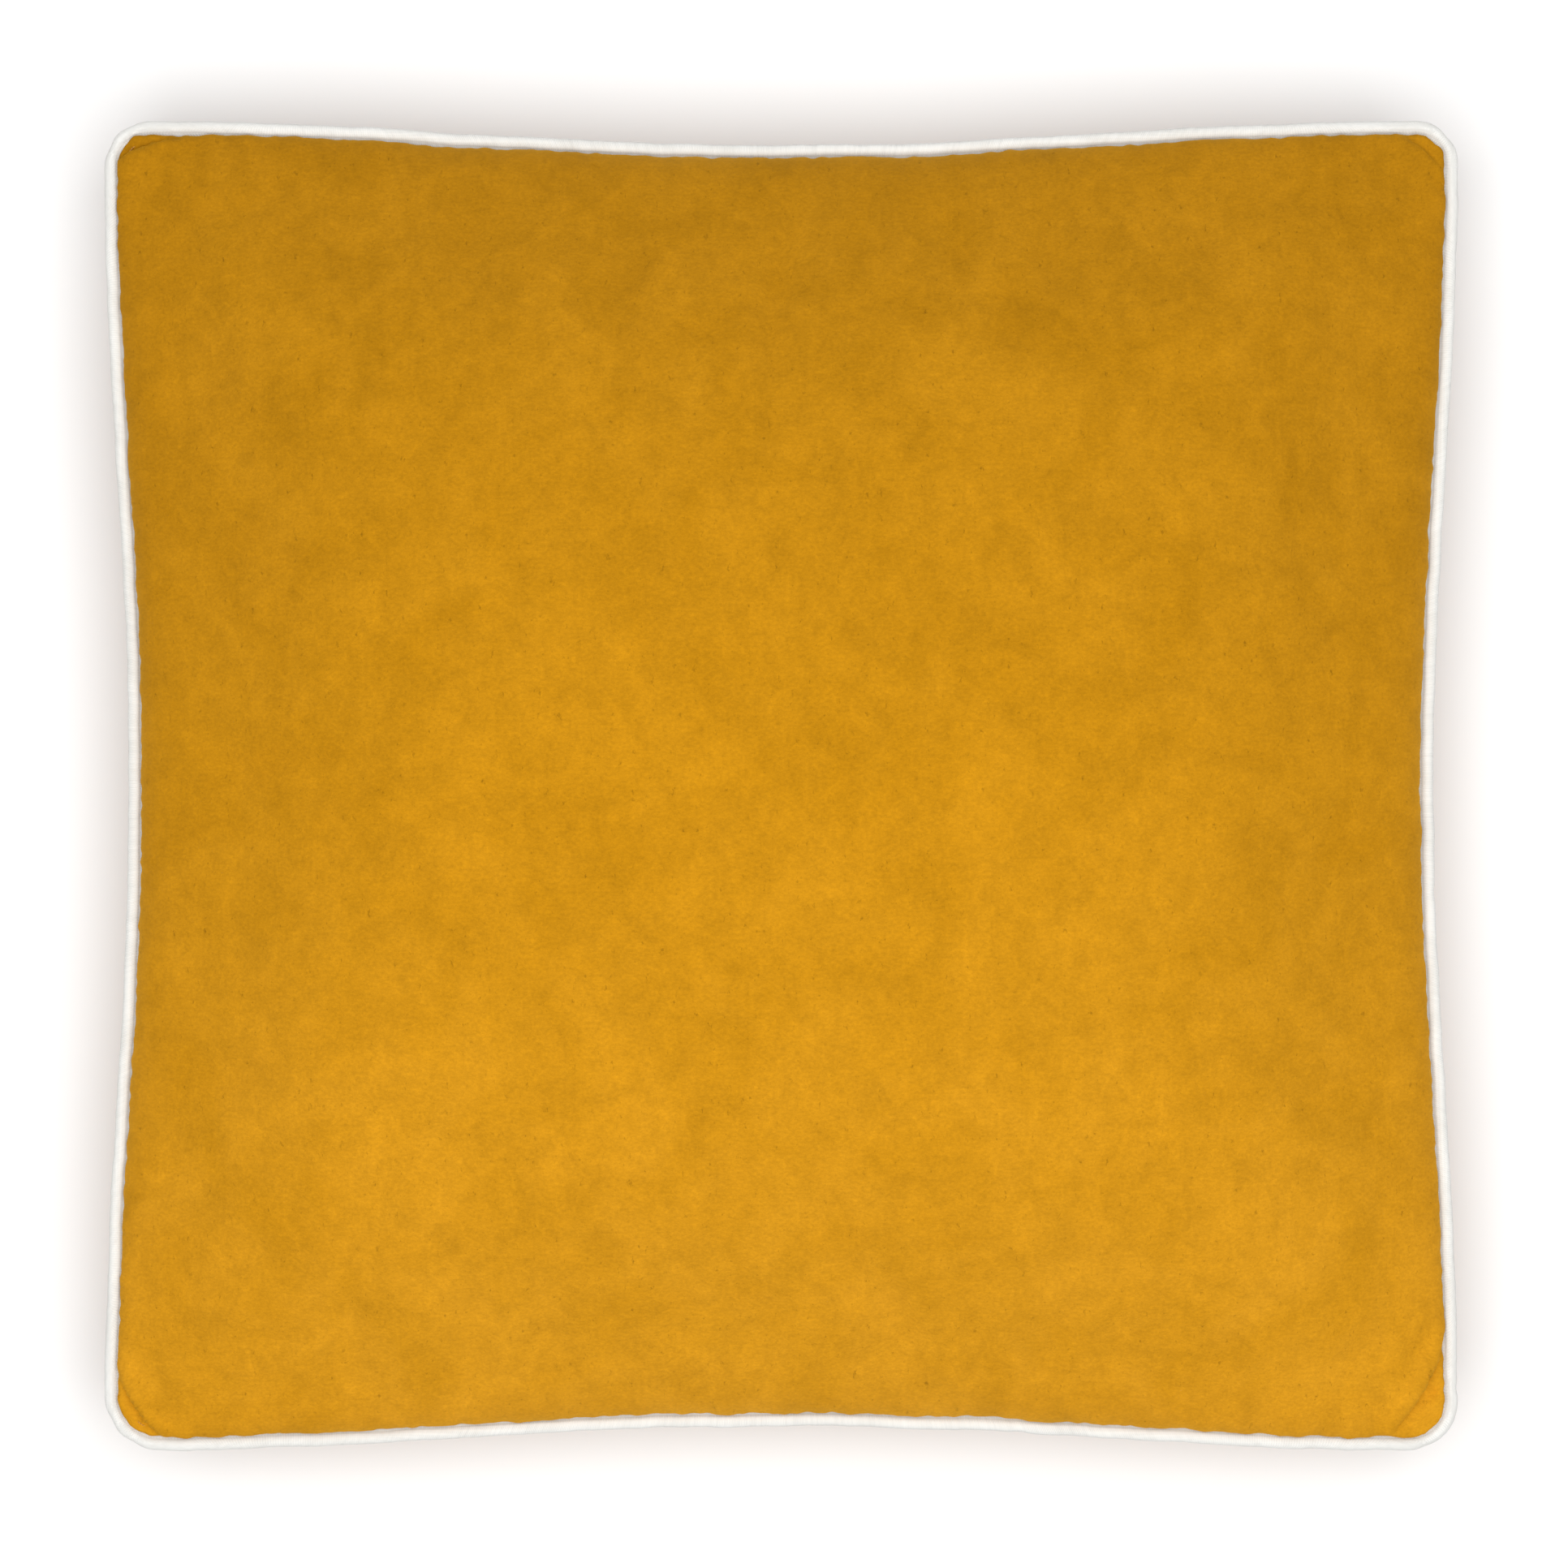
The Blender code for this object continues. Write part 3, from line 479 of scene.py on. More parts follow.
def simulation_side(front):
    bm = bmesh.new()
    bmesh.ops.create_grid(bm, x_segments=CELLS, y_segments=CELLS, size=1)
    x = np.array([vert.co.x for vert in bm.verts]) * HALF_X
    y = np.array([vert.co.y for vert in bm.verts]) * HALF_Y
    if front:
        plan, height = seam_plan(x, y), front_height(x, y, 0, SLACK_CROWN)
    else:
        plan, height = back_plan(x, y), back_height(x, y, 0)
        bmesh.ops.reverse_faces(bm, faces=bm.faces)
    for vert, place in zip(bm.verts, zip(*plan, height)):
        vert.co = place
    return into_mesh("side", bm)


def pinned(x, y, front):
    """Points that stay put: the seam, and the zip's band behind."""
    at_seam = (HALF_X - np.abs(x) < MM) | (HALF_Y - np.abs(y) < MM)
    inward = HALF_Y + y
    near_zip = (inward > ZIP_BAND[0] - 6 * MM) & (inward < ZIP_BAND[1] + 6 * MM)
    return at_seam if front else at_seam | near_zip


def stuff_cover():
    """Returns how far each point of the front and of the back moves, on a square grid."""
    flat_x, flat_y = np.meshgrid(np.linspace(-HALF_X, HALF_X, CELLS + 1),
                                 np.linspace(-HALF_Y, HALF_Y, CELLS + 1))
    bm = bmesh.new()
    bm.from_mesh(simulation_side(True))
    bm.from_mesh(simulation_side(False))
    start = np.array([vert.co[:] for vert in bm.verts])
    side_points = (CELLS + 1) ** 2
    kept = bm.verts.layers.int.new("kept")
    for index, vert in enumerate(bm.verts):
        vert[kept] = index
    bmesh.ops.remove_doubles(bm, verts=bm.verts, dist=1e-6)
    order = np.array([vert[kept] for vert in bm.verts])
    hold = np.concatenate([pinned(flat_x.ravel(), flat_y.ravel(), side) for side in (True, False)])
    cover = put("stuffed", into_mesh("stuffed", bm))
    cover.vertex_groups.new(name="pinned").add([i for i, k in enumerate(order) if hold[k]], 1.0, "REPLACE")
    cloth = cover.modifiers.new("cloth", "CLOTH")
    settings = cloth.settings
    settings.quality, settings.mass, settings.air_damping = 5, 0.02, 1
    settings.tension_stiffness = settings.compression_stiffness = 15
    settings.shear_stiffness, settings.bending_stiffness = 5, 0.5
    settings.shrink_min = settings.shrink_max = -LET_OUT
    settings.use_pressure, settings.uniform_pressure_force = True, PRESSURE
    settings.vertex_group_mass = "pinned"
    settings.effector_weights.gravity = 0
    cloth.collision_settings.distance_min = MM
    cloth.point_cache.frame_start, cloth.point_cache.frame_end = 1, STEPS
    ground_bm = bmesh.new()
    bmesh.ops.create_grid(ground_bm, x_segments=1, y_segments=1, size=0.4)
    ground = put("ground", into_mesh("ground", ground_bm))
    ground.modifiers.new("collision", "COLLISION")
    ground.collision.thickness_outer = 0.5 * MM
    for step in range(1, STEPS + 1):
        scene.frame_set(step)
    evaluated = cover.evaluated_get(bpy.context.evaluated_depsgraph_get())
    end = np.array([vert.co[:] for vert in evaluated.data.vertices])
    move = np.zeros_like(start)
    move[order] = end - start[order]
    length = np.linalg.norm(move, axis=1, keepdims=True)
    print("the cloth moved up to", round(float(length.max()) / MM, 1), "mm")
    move *= np.minimum(1, MOVE_CAP / np.maximum(length, 1e-9))
    for thing in (cover, ground):
        bpy.data.objects.remove(thing)
    scene.frame_set(1)
    shape = (CELLS + 1, CELLS + 1, 3)
    return move[:side_points].reshape(shape), move[side_points:].reshape(shape)


front_move, back_move = stuff_cover()


# %% [markdown]
# ## Reading the stuffed shape
# The panels are made on a finer grid than the simulation's, so the movement is read between its points with
# a smooth curve through four neighbours each way. The same function is used for the insert, which has to
# stay inside the cover.

# %% Form of the finished cover
def between(grid, x, y):
    """Catmull-Rom interpolation of a (rows, columns, n) grid at points of the cut."""
    columns = np.clip((x / HALF_X + 1) / 2 * CELLS, 0, CELLS - 1e-6)
    rows = np.clip((y / HALF_Y + 1) / 2 * CELLS, 0, CELLS - 1e-6)

    def weights(t):
        return (((2 - t) * t - 1) * t / 2, ((3 * t - 5) * t * t + 2) / 2,
                ((4 - 3 * t) * t + 1) * t / 2, (t - 1) * t * t / 2)

    base_c, base_r = np.floor(columns).astype(int), np.floor(rows).astype(int)
    total = np.zeros((len(np.atleast_1d(x)), grid.shape[2]))
    for i, weight_r in enumerate(weights(rows - base_r)):
        for j, weight_c in enumerate(weights(columns - base_c)):
            row = np.clip(base_r + i - 1, 0, CELLS)
            column = np.clip(base_c + j - 1, 0, CELLS)
            total += grid[row, column] * (weight_r * weight_c)[:, None]
    return total


def inward_of(x, y):
    return np.minimum(HALF_X - np.abs(x), HALF_Y - np.abs(y))


def seam_lift(x, y):
    """The seam isn't quite level: it waves gently, and its corners sink a little."""
    x, y = np.atleast_1d(x), np.atleast_1d(y)
    rolling = np.array([wave(a, b, 0.11, 4.0) for a, b in zip(x, y)])
    corner = smooth_step(0.18, 0.24, np.abs(x)) * smooth_step(0.18, 0.24, np.abs(y))
    return 1.6 * MM * rolling - 2.0 * MM * corner


RIM = 3.95 * MM                         # from the seam to the velvet's face, which folds over the stitches


def blurred(grid, reach=5):
    """The slow part of a movement: a running mean over `reach` cells each way, taken three times."""
    for _ in range(3):
        for axis in (0, 1):
            pad = [(reach + 1, reach) if k == axis else (0, 0) for k in range(3)]
            total = np.cumsum(np.pad(grid, pad, mode="edge"), axis=axis)
            width = 2 * reach + 1
            high = np.take(total, range(width, total.shape[axis]), axis=axis)
            low = np.take(total, range(0, total.shape[axis] - width), axis=axis)
            grid = (high - low) / width
    return grid


front_slow, back_slow = blurred(front_move), blurred(back_move)
front_quick, back_quick = front_move - front_slow, back_move - back_slow


def settle(slow, quick, x, y, wrinkles):
    """Towards the seam the swelling fades out over the last 90 mm, and the wrinkles over the last 50."""
    inward = inward_of(x, y)
    move = (between(slow, x, y) * smooth_step(-10 * MM, 90 * MM, inward)[:, None]
            + wrinkles * between(quick, x, y) * smooth_step(4 * MM, 55 * MM, inward)[:, None])
    return move * smooth_step(0, 14 * MM, inward)[:, None]


def stuffed_front(x, y):
    """Points of the velvet's outer face on the front, as the simulation left them."""
    x, y = np.atleast_1d(x).astype(float), np.atleast_1d(y).astype(float)
    move = settle(front_slow, front_quick, x, y, 0.8)
    lift = seam_lift(x, y) * (1 - smooth_step(0, 40 * MM, inward_of(x, y)))
    height = front_height(x, y, RIM, START_CROWN) + move[:, 2] + lift
    plan_x, plan_y = seam_plan(x, y)
    return np.stack([plan_x + move[:, 0], plan_y + move[:, 1], height], axis=1)


START_CROWN = SLACK_CROWN
row = np.linspace(-0.12, 0.12, 61)
middle = [grid.ravel() for grid in np.meshgrid(row, row)]
crown_now = stuffed_front(*middle)[:, 2].max()
CROWN_SCALE = (CROWN - SEAM - RIM) / (crown_now - SEAM - RIM)
print("the crown stands at", round(float(crown_now), 4), "and is scaled by", round(float(CROWN_SCALE), 3))


def cover_front(x, y):
    """The same with the crown at its measured height."""
    points = stuffed_front(x, y)
    above = np.maximum(0, points[:, 2] - SEAM - RIM)
    points[:, 2] += above * (CROWN_SCALE - 1)
    return points


def stuffed_back(x, y):
    """Points of the velvet's outer face behind, as the simulation left them."""
    x, y = np.atleast_1d(x).astype(float), np.atleast_1d(y).astype(float)
    move = settle(back_slow, back_quick, x, y, 1.0)
    lift = seam_lift(x, y) * (1 - smooth_step(0, 14 * MM, inward_of(x, y)))
    height = back_height(x, y, RIM) + move[:, 2] + lift
    plan_x, plan_y = back_plan(x, y)
    return np.stack([plan_x + move[:, 0], plan_y + move[:, 1], np.maximum(height, 0)], axis=1)


UNDERSIDE = float(stuffed_back(*middle)[:, 2].min())
print("the underside stood", round(UNDERSIDE / MM, 2), "mm off the floor")


def cover_back(x, y):
    """The same, let down until the middle of the underside rests on the floor."""
    points = stuffed_back(x, y)
    let_down = UNDERSIDE * smooth_step(50 * MM, 100 * MM, inward_of(np.atleast_1d(x), np.atleast_1d(y)))
    points[:, 2] = np.maximum(points[:, 2] - let_down, 0)
    return points


# %% [markdown]
# ## Puckers and corner folds
# Each stitch pulls the velvet in a little, so the edge beside the piping is a row of tiny scallops, and
# short puckers run in from it. They are a noise along the seam that fades out over a few millimetres.
# At the corners the cloth has nowhere to go: it folds. A crease is a short valley with a soft ridge beside
# it, and a tuck is a step whose high side laps over its low side. Both run between two points of the sheet.

# %% Puckers and folds
def outwards(x, y):
    """Unit direction out of the seam in plan, turning round the corners."""
    near_x, near_y = HALF_X - np.abs(x), HALF_Y - np.abs(y)
    corner = corner_radius(x, y)
    over_x = np.maximum(0, corner - near_x)
    over_y = np.maximum(0, corner - near_y)
    alone_x = (over_x + over_y == 0) & (near_x <= near_y)
    alone_y = (over_x + over_y == 0) & (near_x > near_y)
    out_x = np.sign(x) * np.where(alone_x, 1.0, over_x)
    out_y = np.sign(y) * np.where(alone_y, 1.0, over_y)
    length = np.maximum(np.hypot(out_x, out_y), 1e-9)
    return out_x / length, out_y / length


def scallop(x, y):
    """From -1 to 1 along the seam: a stitch's pull, the same all the way in from the seam."""
    to_side = (HALF_X - np.abs(x)) < (HALF_Y - np.abs(y))
    along_x = np.where(to_side, np.copysign(HALF_X, x), x)
    along_y = np.where(to_side, y, np.copysign(HALF_Y, y))
    return np.array([0.6 * wave(a, b, 3.0 * MM, 7.0) + 0.8 * wave(a, b, 5.5 * MM, 3.0)
                     + 0.7 * wave(a, b, 14 * MM, 9.0) for a, b in zip(along_x, along_y)])


def pucker(points, x, y, side):
    """Moves points near the seam: scallops at the edge, puckers just inside it."""
    inward = inward_of(x, y)
    pull = scallop(x, y)
    out_x, out_y = outwards(x, y)
    edge = np.exp(-inward / (5 * MM))
    inner = inward / (6 * MM) * np.exp(1 - inward / (6 * MM))
    shift = (-0.15 + 0.70 * pull) * MM * edge
    points[:, 0] += out_x * shift
    points[:, 1] += out_y * shift
    points[:, 2] += side * 0.6 * MM * pull * inner
    return points


# start, end, depth and width of each crease, in millimetres on the front
CREASES = [
    ((-247, 240), (-229, 236), 1.4, 2.2), ((-243, 228), (-214, 214), 0.8, 5.0),
    ((236, 243), (238, 226), 1.0, 1.6), ((240, 234), (246, 222), 1.4, 2.4),
    ((240, 226), (205, 212), 0.8, 6.0),
    ((-243, -226), (-228, -238), 1.0, 2.5), ((-240, -214), (-214, -196), 1.0, 6.0),
    ((249, -196), (232, -216), 0.9, 3.5), ((234, -244), (214, -226), 0.7, 4.0),
    ((249, -222), (238, -232), 1.2, 1.6), ((-238, 6), (-214, -1), 0.8, 4.0),
    ((-28, 241), (-44, 232), 0.8, 3.5), ((150, 240), (156, 222), 0.6, 5.0),
    ((-120, -240), (-126, -222), 0.6, 5.0), ((62, -240), (58, -224), 0.6, 5.0),
    ((-243, 150), (-222, 146), 0.6, 4.0), ((-240, -92), (-218, -84), 0.7, 4.5),
    ((240, 92), (216, 86), 0.7, 4.5), ((241, -120), (220, -110), 0.8, 5.0),
]
LAP = 3.0                               # how far a tuck's high side leans over its low side
# a tuck is a step: past its line, on its left as it runs from start to end, the cloth drops and then
# recovers over the last number
TUCKS = [
    ((249, -203), (230, -240), 5.4, 1.4, 9.0), ((-229, -247), (-251, -214), 4.8, 1.4, 7.0),
    ((-252, 232), (-220, 243), 3.6, 1.3, 6.0), ((230, 245), (250, 226), 2.4, 3.0, 8.0),
]


def press_folds(points):
    """Presses the creases in, and lays each tuck over itself: its high side laps over its low side."""
    x, y = points[:, 0].copy(), points[:, 1].copy()
    inside = smooth_step(-2 * MM, 6 * MM, inward_of(x, y))
    for start, end, deep, wide, *reach in CREASES + TUCKS:
        ax, ay, bx, by = (value * MM for value in (*start, *end))
        length = math.hypot(bx - ax, by - ay)
        run_x, run_y = (bx - ax) / length, (by - ay) / length
        along = ((x - ax) * run_x + (y - ay) * run_y) / length
        across = (run_x * (y - ay) - run_y * (x - ax)) / (wide * MM)
        ends = inside * smooth_step(-0.35, 0.25, along) * (1 - smooth_step(0.55, 1.25, along))
        if reach:
            across = across - 1.5 / wide * np.sin(math.pi * np.clip(along, 0, 1))
            step = smooth_step(-1, 1, across) * np.exp(-np.maximum(0, across) * wide / reach[0])
            swell = np.exp(-((across + 2.6) / 2.0) ** 2)
            lap = -LAP * MM * across * np.exp(-(across / 1.6) ** 2) * ends
            points[:, 0] -= run_y * lap
            points[:, 1] += run_x * lap
            points[:, 2] -= deep * MM * ends * (step - 0.3 * swell)
        else:
            valley = np.exp(-across ** 2)
            ridge = np.exp(-((across - 2.1) / 1.3) ** 2)
            points[:, 2] -= deep * MM * ends * (valley - 0.45 * ridge)
    return points


# %% [markdown]
# ## The velvet panels
# Each panel is a sheet whose lines lie closer together towards the seam, where the detail is. Its outline is
# then rolled over into the seam: the same edges are extruded again and again, each time a little further
# round the fold, ending in the seam allowance inside. Solidify gives the cloth its thickness at the end.

# %% Tools for panels
def crowded(half, lines, share=0.38):
    """Positions from -half to half that lie closer together near both ends."""
    t = np.linspace(-1, 1, lines + 1)
    return half * (share * t + (1 - share) * np.sin(math.pi / 2 * t))


PANEL_LINES, CASE_LINES, FILLING_LINES = 150, 90, 80
SEAM_BAND, FINEST = 8 * MM, 1.9 * MM    # cells of this band are halved until they are this short


def cut_sheet(xs, ys, halvings=2):
    """The flat cut of a panel, with its place in the cut kept as a layer, and finer cells by the seam."""
    bm = bmesh.new()
    bmesh.ops.create_grid(bm, x_segments=len(xs) - 1, y_segments=len(ys) - 1, size=1)
    for vert in bm.verts:
        column = round((vert.co.x + 1) / 2 * (len(xs) - 1))
        row = round((vert.co.y + 1) / 2 * (len(ys) - 1))
        vert.co = (xs[column], ys[row], 0)
    for _ in range(halvings):
        along_seam = []
        for edge in bm.edges:
            a, b = (vert.co for vert in edge.verts)
            run = b - a
            middle = (a + b) / 2
            by_side = HALF_X - abs(middle.x) < SEAM_BAND and abs(run.y) > abs(run.x)
            by_end = HALF_Y - abs(middle.y) < SEAM_BAND and abs(run.x) > abs(run.y)
            if run.length > FINEST and (by_side or by_end):
                along_seam.append(edge)
        bmesh.ops.subdivide_edges(bm, edges=along_seam, cuts=1, use_grid_fill=True)
    cut = bm.verts.layers.float_vector.new("cut")
    for vert in bm.verts:
        vert[cut] = vert.co.copy()
    return bm


def place_sheet(bm, form):
    cut = bm.verts.layers.float_vector["cut"]
    x = np.array([vert[cut].x for vert in bm.verts])
    y = np.array([vert[cut].y for vert in bm.verts])
    for vert, place in zip(bm.verts, form(x, y)):
        vert.co = place


def roll_edge(bm, edges, steps, up):
    """Extrudes an outline along (out, up) steps; `up` is a direction, or gives one for a vertex."""
    bm.normal_update()
    layers = bm.verts.layers.float_vector
    for key in ("lift", "home", "away"):
        if key not in layers:
            layers.new(key)
    lift, home, away, cut = (layers[key] for key in ("lift", "home", "away", "cut"))
    edges = list(edges)
    chosen = set(edges)
    for vert in {vert for edge in edges for vert in edge.verts}:
        around = [edge for edge in vert.link_edges if edge in chosen]
        ends = [edge.other_vert(vert).co for edge in around]
        run = (ends[0] - ends[-1]) if len(ends) > 1 else (ends[0] - vert.co)
        rise_along = up(vert) if callable(up) else up
        out = run.cross(rise_along)
        inside = [other[cut] for face in vert.link_faces for other in face.verts]
        outside = vert[cut] - sum(inside, Vector()) / len(inside)
        if out.x * outside.x + out.y * outside.y < 0:
            out.negate()
        vert[home], vert[away], vert[lift] = vert.co.copy(), out.normalized(), rise_along
    for out, rise in steps:
        made = bmesh.ops.extrude_edge_only(bm, edges=edges)["geom"]
        verts = {item for item in made if isinstance(item, bmesh.types.BMVert)}
        for vert in verts:
            vert.co = vert[home] + vert[away] * out * MM + vert[lift] * rise * MM
            vert[cut] = vert[cut] + vert[away] * 0.8 * MM
        edges = [edge for edge in bm.edges if edge.is_boundary and verts.issuperset(edge.verts)]


def lay_pattern(bm):
    """Writes the cut's coordinates, in metres, as the UV map that the velvet's pattern reads."""
    cut = bm.verts.layers.float_vector["cut"]
    lay_uv(bm, lambda vert: vert[cut].xy)


# the seam's fold: out from the outline and up, in millimetres
SEAM_ROLL = [(0.08, -0.65), (0.04, -1.2), (-0.15, -1.75), (-0.5, -2.3), (-1.1, -2.65), (-2.1, -2.85),
             (-5.0, -2.9), (-9.5, -2.9)]


# %% The front
def velvet_front_form(x, y):
    points = cover_front(x, y)
    return pucker(press_folds(points), x, y, 1)


def make_front():
    bm = cut_sheet(crowded(HALF_X, PANEL_LINES), crowded(HALF_Y, PANEL_LINES))
    place_sheet(bm, velvet_front_form)
    roll_edge(bm, [edge for edge in bm.edges if edge.is_boundary], SEAM_ROLL, Vector((0, 0, 1)))
    lay_pattern(bm)
    front = add_piece("velvet_front", bm, "velvet", "front_panel", thickness=VELVET)


make_front()

# %% [markdown]
# ## The back and the zip's slot
# The back is cut in two: a large panel and a narrow strip, with the zip between them. Both slot edges are
# folded under in a half circle, which leaves room for the slider between them. The band around the zip is
# straight, and its tilt is read from the joint that the pull swings on, whose axis lies in the band.

# %% The zip's own axes
pull_joint = next(joint for joint in frame["joints"] if joint["name"] == "pull_swing")
TOWARDS_SEAM = Vector(pull_joint["axis"])                # across the zip, towards the bottom seam
OUT = Vector((1, 0, 0)).cross(TOWARDS_SEAM)              # out of the velvet's face
PULL_HEIGHT = 1.4 * MM                                   # of the pull's hinge over the velvet's face
ZIP_CENTRE = Vector(pull_joint["pos_m"]) - OUT * PULL_HEIGHT
ZIP_CENTRE.x = 0
ZIP_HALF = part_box("zip_topstitch_upper")[1][0]
SLOT_HALF = 3.85 * MM
SLOT_TAPER = 4.0 * MM
FOLD_RADIUS = 1.15 * MM                                  # outside of the fold along the slot
STITCH_LINE = 5.85 * MM                                  # from the zip's centre to the topstitching
print("the zip's band slopes", round(math.degrees(math.asin(-OUT.y)), 1), "degrees")


def on_zip(along, across, out=0.0):
    """A point given along the zip, across it (positive towards the seam) and out of the velvet's face."""
    return ZIP_CENTRE + Vector((along, 0, 0)) + TOWARDS_SEAM * across + OUT * out


# %% The back panel and the zip strip
def slot_half(x):
    """Half the opening at a place along it; it closes just past the zip."""
    return SLOT_HALF - (SLOT_HALF - 0.2 * MM) * smooth_step(ZIP_HALF, ZIP_HALF + SLOT_TAPER, np.abs(x))


def back_form(side):
    def form(x, y):
        lower = ZIP_CENTRE.y
        near = 1 - smooth_step(0, 14 * MM, np.abs(y - lower) - SLOT_HALF)
        edge = slot_half(x) + FOLD_RADIUS - (SLOT_HALF + FOLD_RADIUS)
        y = y + side * edge * near * -TOWARDS_SEAM.y
        points = pucker(cover_back(x, y), x, y, -1)
        across = np.abs(y - lower) / -TOWARDS_SEAM.y
        inside = 1 - smooth_step(ZIP_HALF, ZIP_HALF + 2 * MM, np.abs(x))
        groove = 0.45 * MM * np.exp(-((across - STITCH_LINE) / (0.9 * MM)) ** 2) * inside
        loose = np.array([wave(a, b, 7 * MM, 2.0) for a, b in zip(x, y)])
        swell = 0.16 * MM * loose * smooth_step(6.5 * MM, 9 * MM, across)
        swell *= 1 - smooth_step(9 * MM, 14 * MM, across)
        for axis in range(3):
            points[:, axis] += OUT[axis] * (swell - groove)
        return points
    return form


def half_circle(radius):
    """Steps of a half circle under the edge, in millimetres."""
    return [(radius * math.sin(a) / MM, -radius * (1 - math.cos(a)) / MM)
            for a in np.linspace(0, math.pi, 8)[1:]]


def out_of_band(vert):
    """The zip band faces one way; past its ends the cloth turns with the flank."""
    return OUT.lerp(vert.normal, float(smooth_step(0.19, 0.225, abs(vert.co.x)))).normalized()


def make_back(name, node, ys, side):
    bm = cut_sheet(crowded(HALF_X, PANEL_LINES), ys)
    bmesh.ops.reverse_faces(bm, faces=bm.faces)
    cut = bm.verts.layers.float_vector["cut"]
    slot_row = ys[0] if side > 0 else ys[-1]
    slot = {vert for vert in bm.verts if abs(vert[cut].y - slot_row) < 1e-6}
    place_sheet(bm, back_form(side))
    outline = [edge for edge in bm.edges if edge.is_boundary]
    slot_edges = [edge for edge in outline if slot.issuperset(edge.verts)]
    seam_edges = [edge for edge in outline if not slot.issuperset(edge.verts)]
    roll_edge(bm, seam_edges, SEAM_ROLL, Vector((0, 0, -1)))
    roll_edge(bm, slot_edges, half_circle(FOLD_RADIUS) + [(-2.5, -2.3), (-7.0, -2.3)], out_of_band)
    lay_pattern(bm)
    panel = add_piece(name, bm, "velvet", node, thickness=VELVET)


SLOT_ROW = (SLOT_HALF + FOLD_RADIUS) * -TOWARDS_SEAM.y
zip_y = ZIP_CENTRE.y
panel_rows = zip_y + SLOT_ROW + np.array([0, .4, .8, 1.3, 2, 3, 4.3, 6, 8, 10.5, 13.5]) * MM
top_rows = crowded(HALF_Y, PANEL_LINES)
panel_rows = np.concatenate([panel_rows, top_rows[top_rows > panel_rows[-1] + 2 * MM]])
strip_rows = zip_y - SLOT_ROW - np.array([0, .4, .8, 1.3, 2, 3, 4.3, 6, 8]) * MM
strip_rows = np.concatenate([top_rows[top_rows < strip_rows[-1] - 1.2 * MM], strip_rows[::-1]])
make_back("velvet_back", "back_panel", panel_rows, 1)
make_back("velvet_zip_strip", "back_strip", strip_rows, -1)

# %% [markdown]
# ## The piping
# Piping is a strip of cotton cut on the bias and wrapped round a soft cord. Its two plies lie inside the
# seam with the velvet. The strip is one closed outline, a keyhole in section, carried all the way round the
# seam: its radius and its place vary a little with each stitch, and at the corners it is nicked and kinks.

# %% Stations round the seam
SAMPLES = 4000                          # round the seam, before the stations are spaced evenly


def seam_stations(count):
    """Evenly spaced places round the seam: plan point, outward direction, and place in the cut."""
    turns = np.linspace(0, 1, SAMPLES + 1)[:-1] * 4
    side, share = np.floor(turns).astype(int), (turns % 1) * 2 - 1
    # crowd the samples towards the corners, where the seam turns
    share = 0.4 * share + 0.6 * np.sin(math.pi / 2 * share)
    x = np.choose(side, [share, 1 + 0 * share, -share, -1 + 0 * share]) * HALF_X
    y = np.choose(side, [-1 + 0 * share, share, 1 + 0 * share, -share]) * HALF_Y
    px, py = back_plan(x, y)
    step = np.hypot(np.diff(np.append(px, px[0])), np.diff(np.append(py, py[0])))
    length = np.concatenate([[0], np.cumsum(step)])
    wanted = np.linspace(0, length[-1], count + 1)[:-1]
    px, py, x, y = [np.interp(wanted, length, np.append(v, v[0])) for v in (px, py, x, y)]
    run_x = np.roll(px, -2) - np.roll(px, 2)
    run_y = np.roll(py, -2) - np.roll(py, 2)
    size = np.hypot(run_x, run_y)
    return px, py, run_y / size, -run_x / size, x, y, length[-1]


STATIONS = 1500
ring_x, ring_y, ring_ox, ring_oy, ring_cx, ring_cy, RING_LENGTH = seam_stations(STATIONS)
ring_lift = seam_lift(ring_cx, ring_cy)
ring_pull = scallop(ring_cx, ring_cy)
print("the seam is", round(RING_LENGTH, 3), "m long")

# places of the nicks at the corners, in millimetres, with how deep they are
NICKS = [((-248.5, 237.5), 0.7), ((-242, 243), 0.6), ((246, 240), 0.6), ((-247.5, -236), 0.5),
         ((-241, -242), 0.5), ((247.5, -226), 0.4), ((240, -243), 0.4), ((-160, 240), 0.35),
         ((30, 236), 0.3), ((-239, 60), 0.3), ((240, -40), 0.35), ((90, -237), 0.3)]
ring_nick = sum(deep * MM * np.exp(-((ring_x / MM - x) ** 2 + (ring_y / MM - y) ** 2) / 2.6 ** 2)
                for (x, y), deep in NICKS)


def carried_round(section):
    """Carries a closed section round the seam; section(i) gives its (out, up) points at station i."""
    sides = len(section(0))
    sections = {}

    def place(u, v):
        i = round((u + 1) / 2 * STATIONS) % STATIONS
        j = round((v + 1) / 2 * sides) % sides
        if i not in sections:
            sections[i] = section(i)
        out, rise = sections[i][j]
        return ring_x[i] + ring_ox[i] * out, ring_y[i] + ring_oy[i] * out, SEAM + ring_lift[i] + rise

    bm = rolled_up(STATIONS, sides, place)
    face_outwards(bm)
    return bm


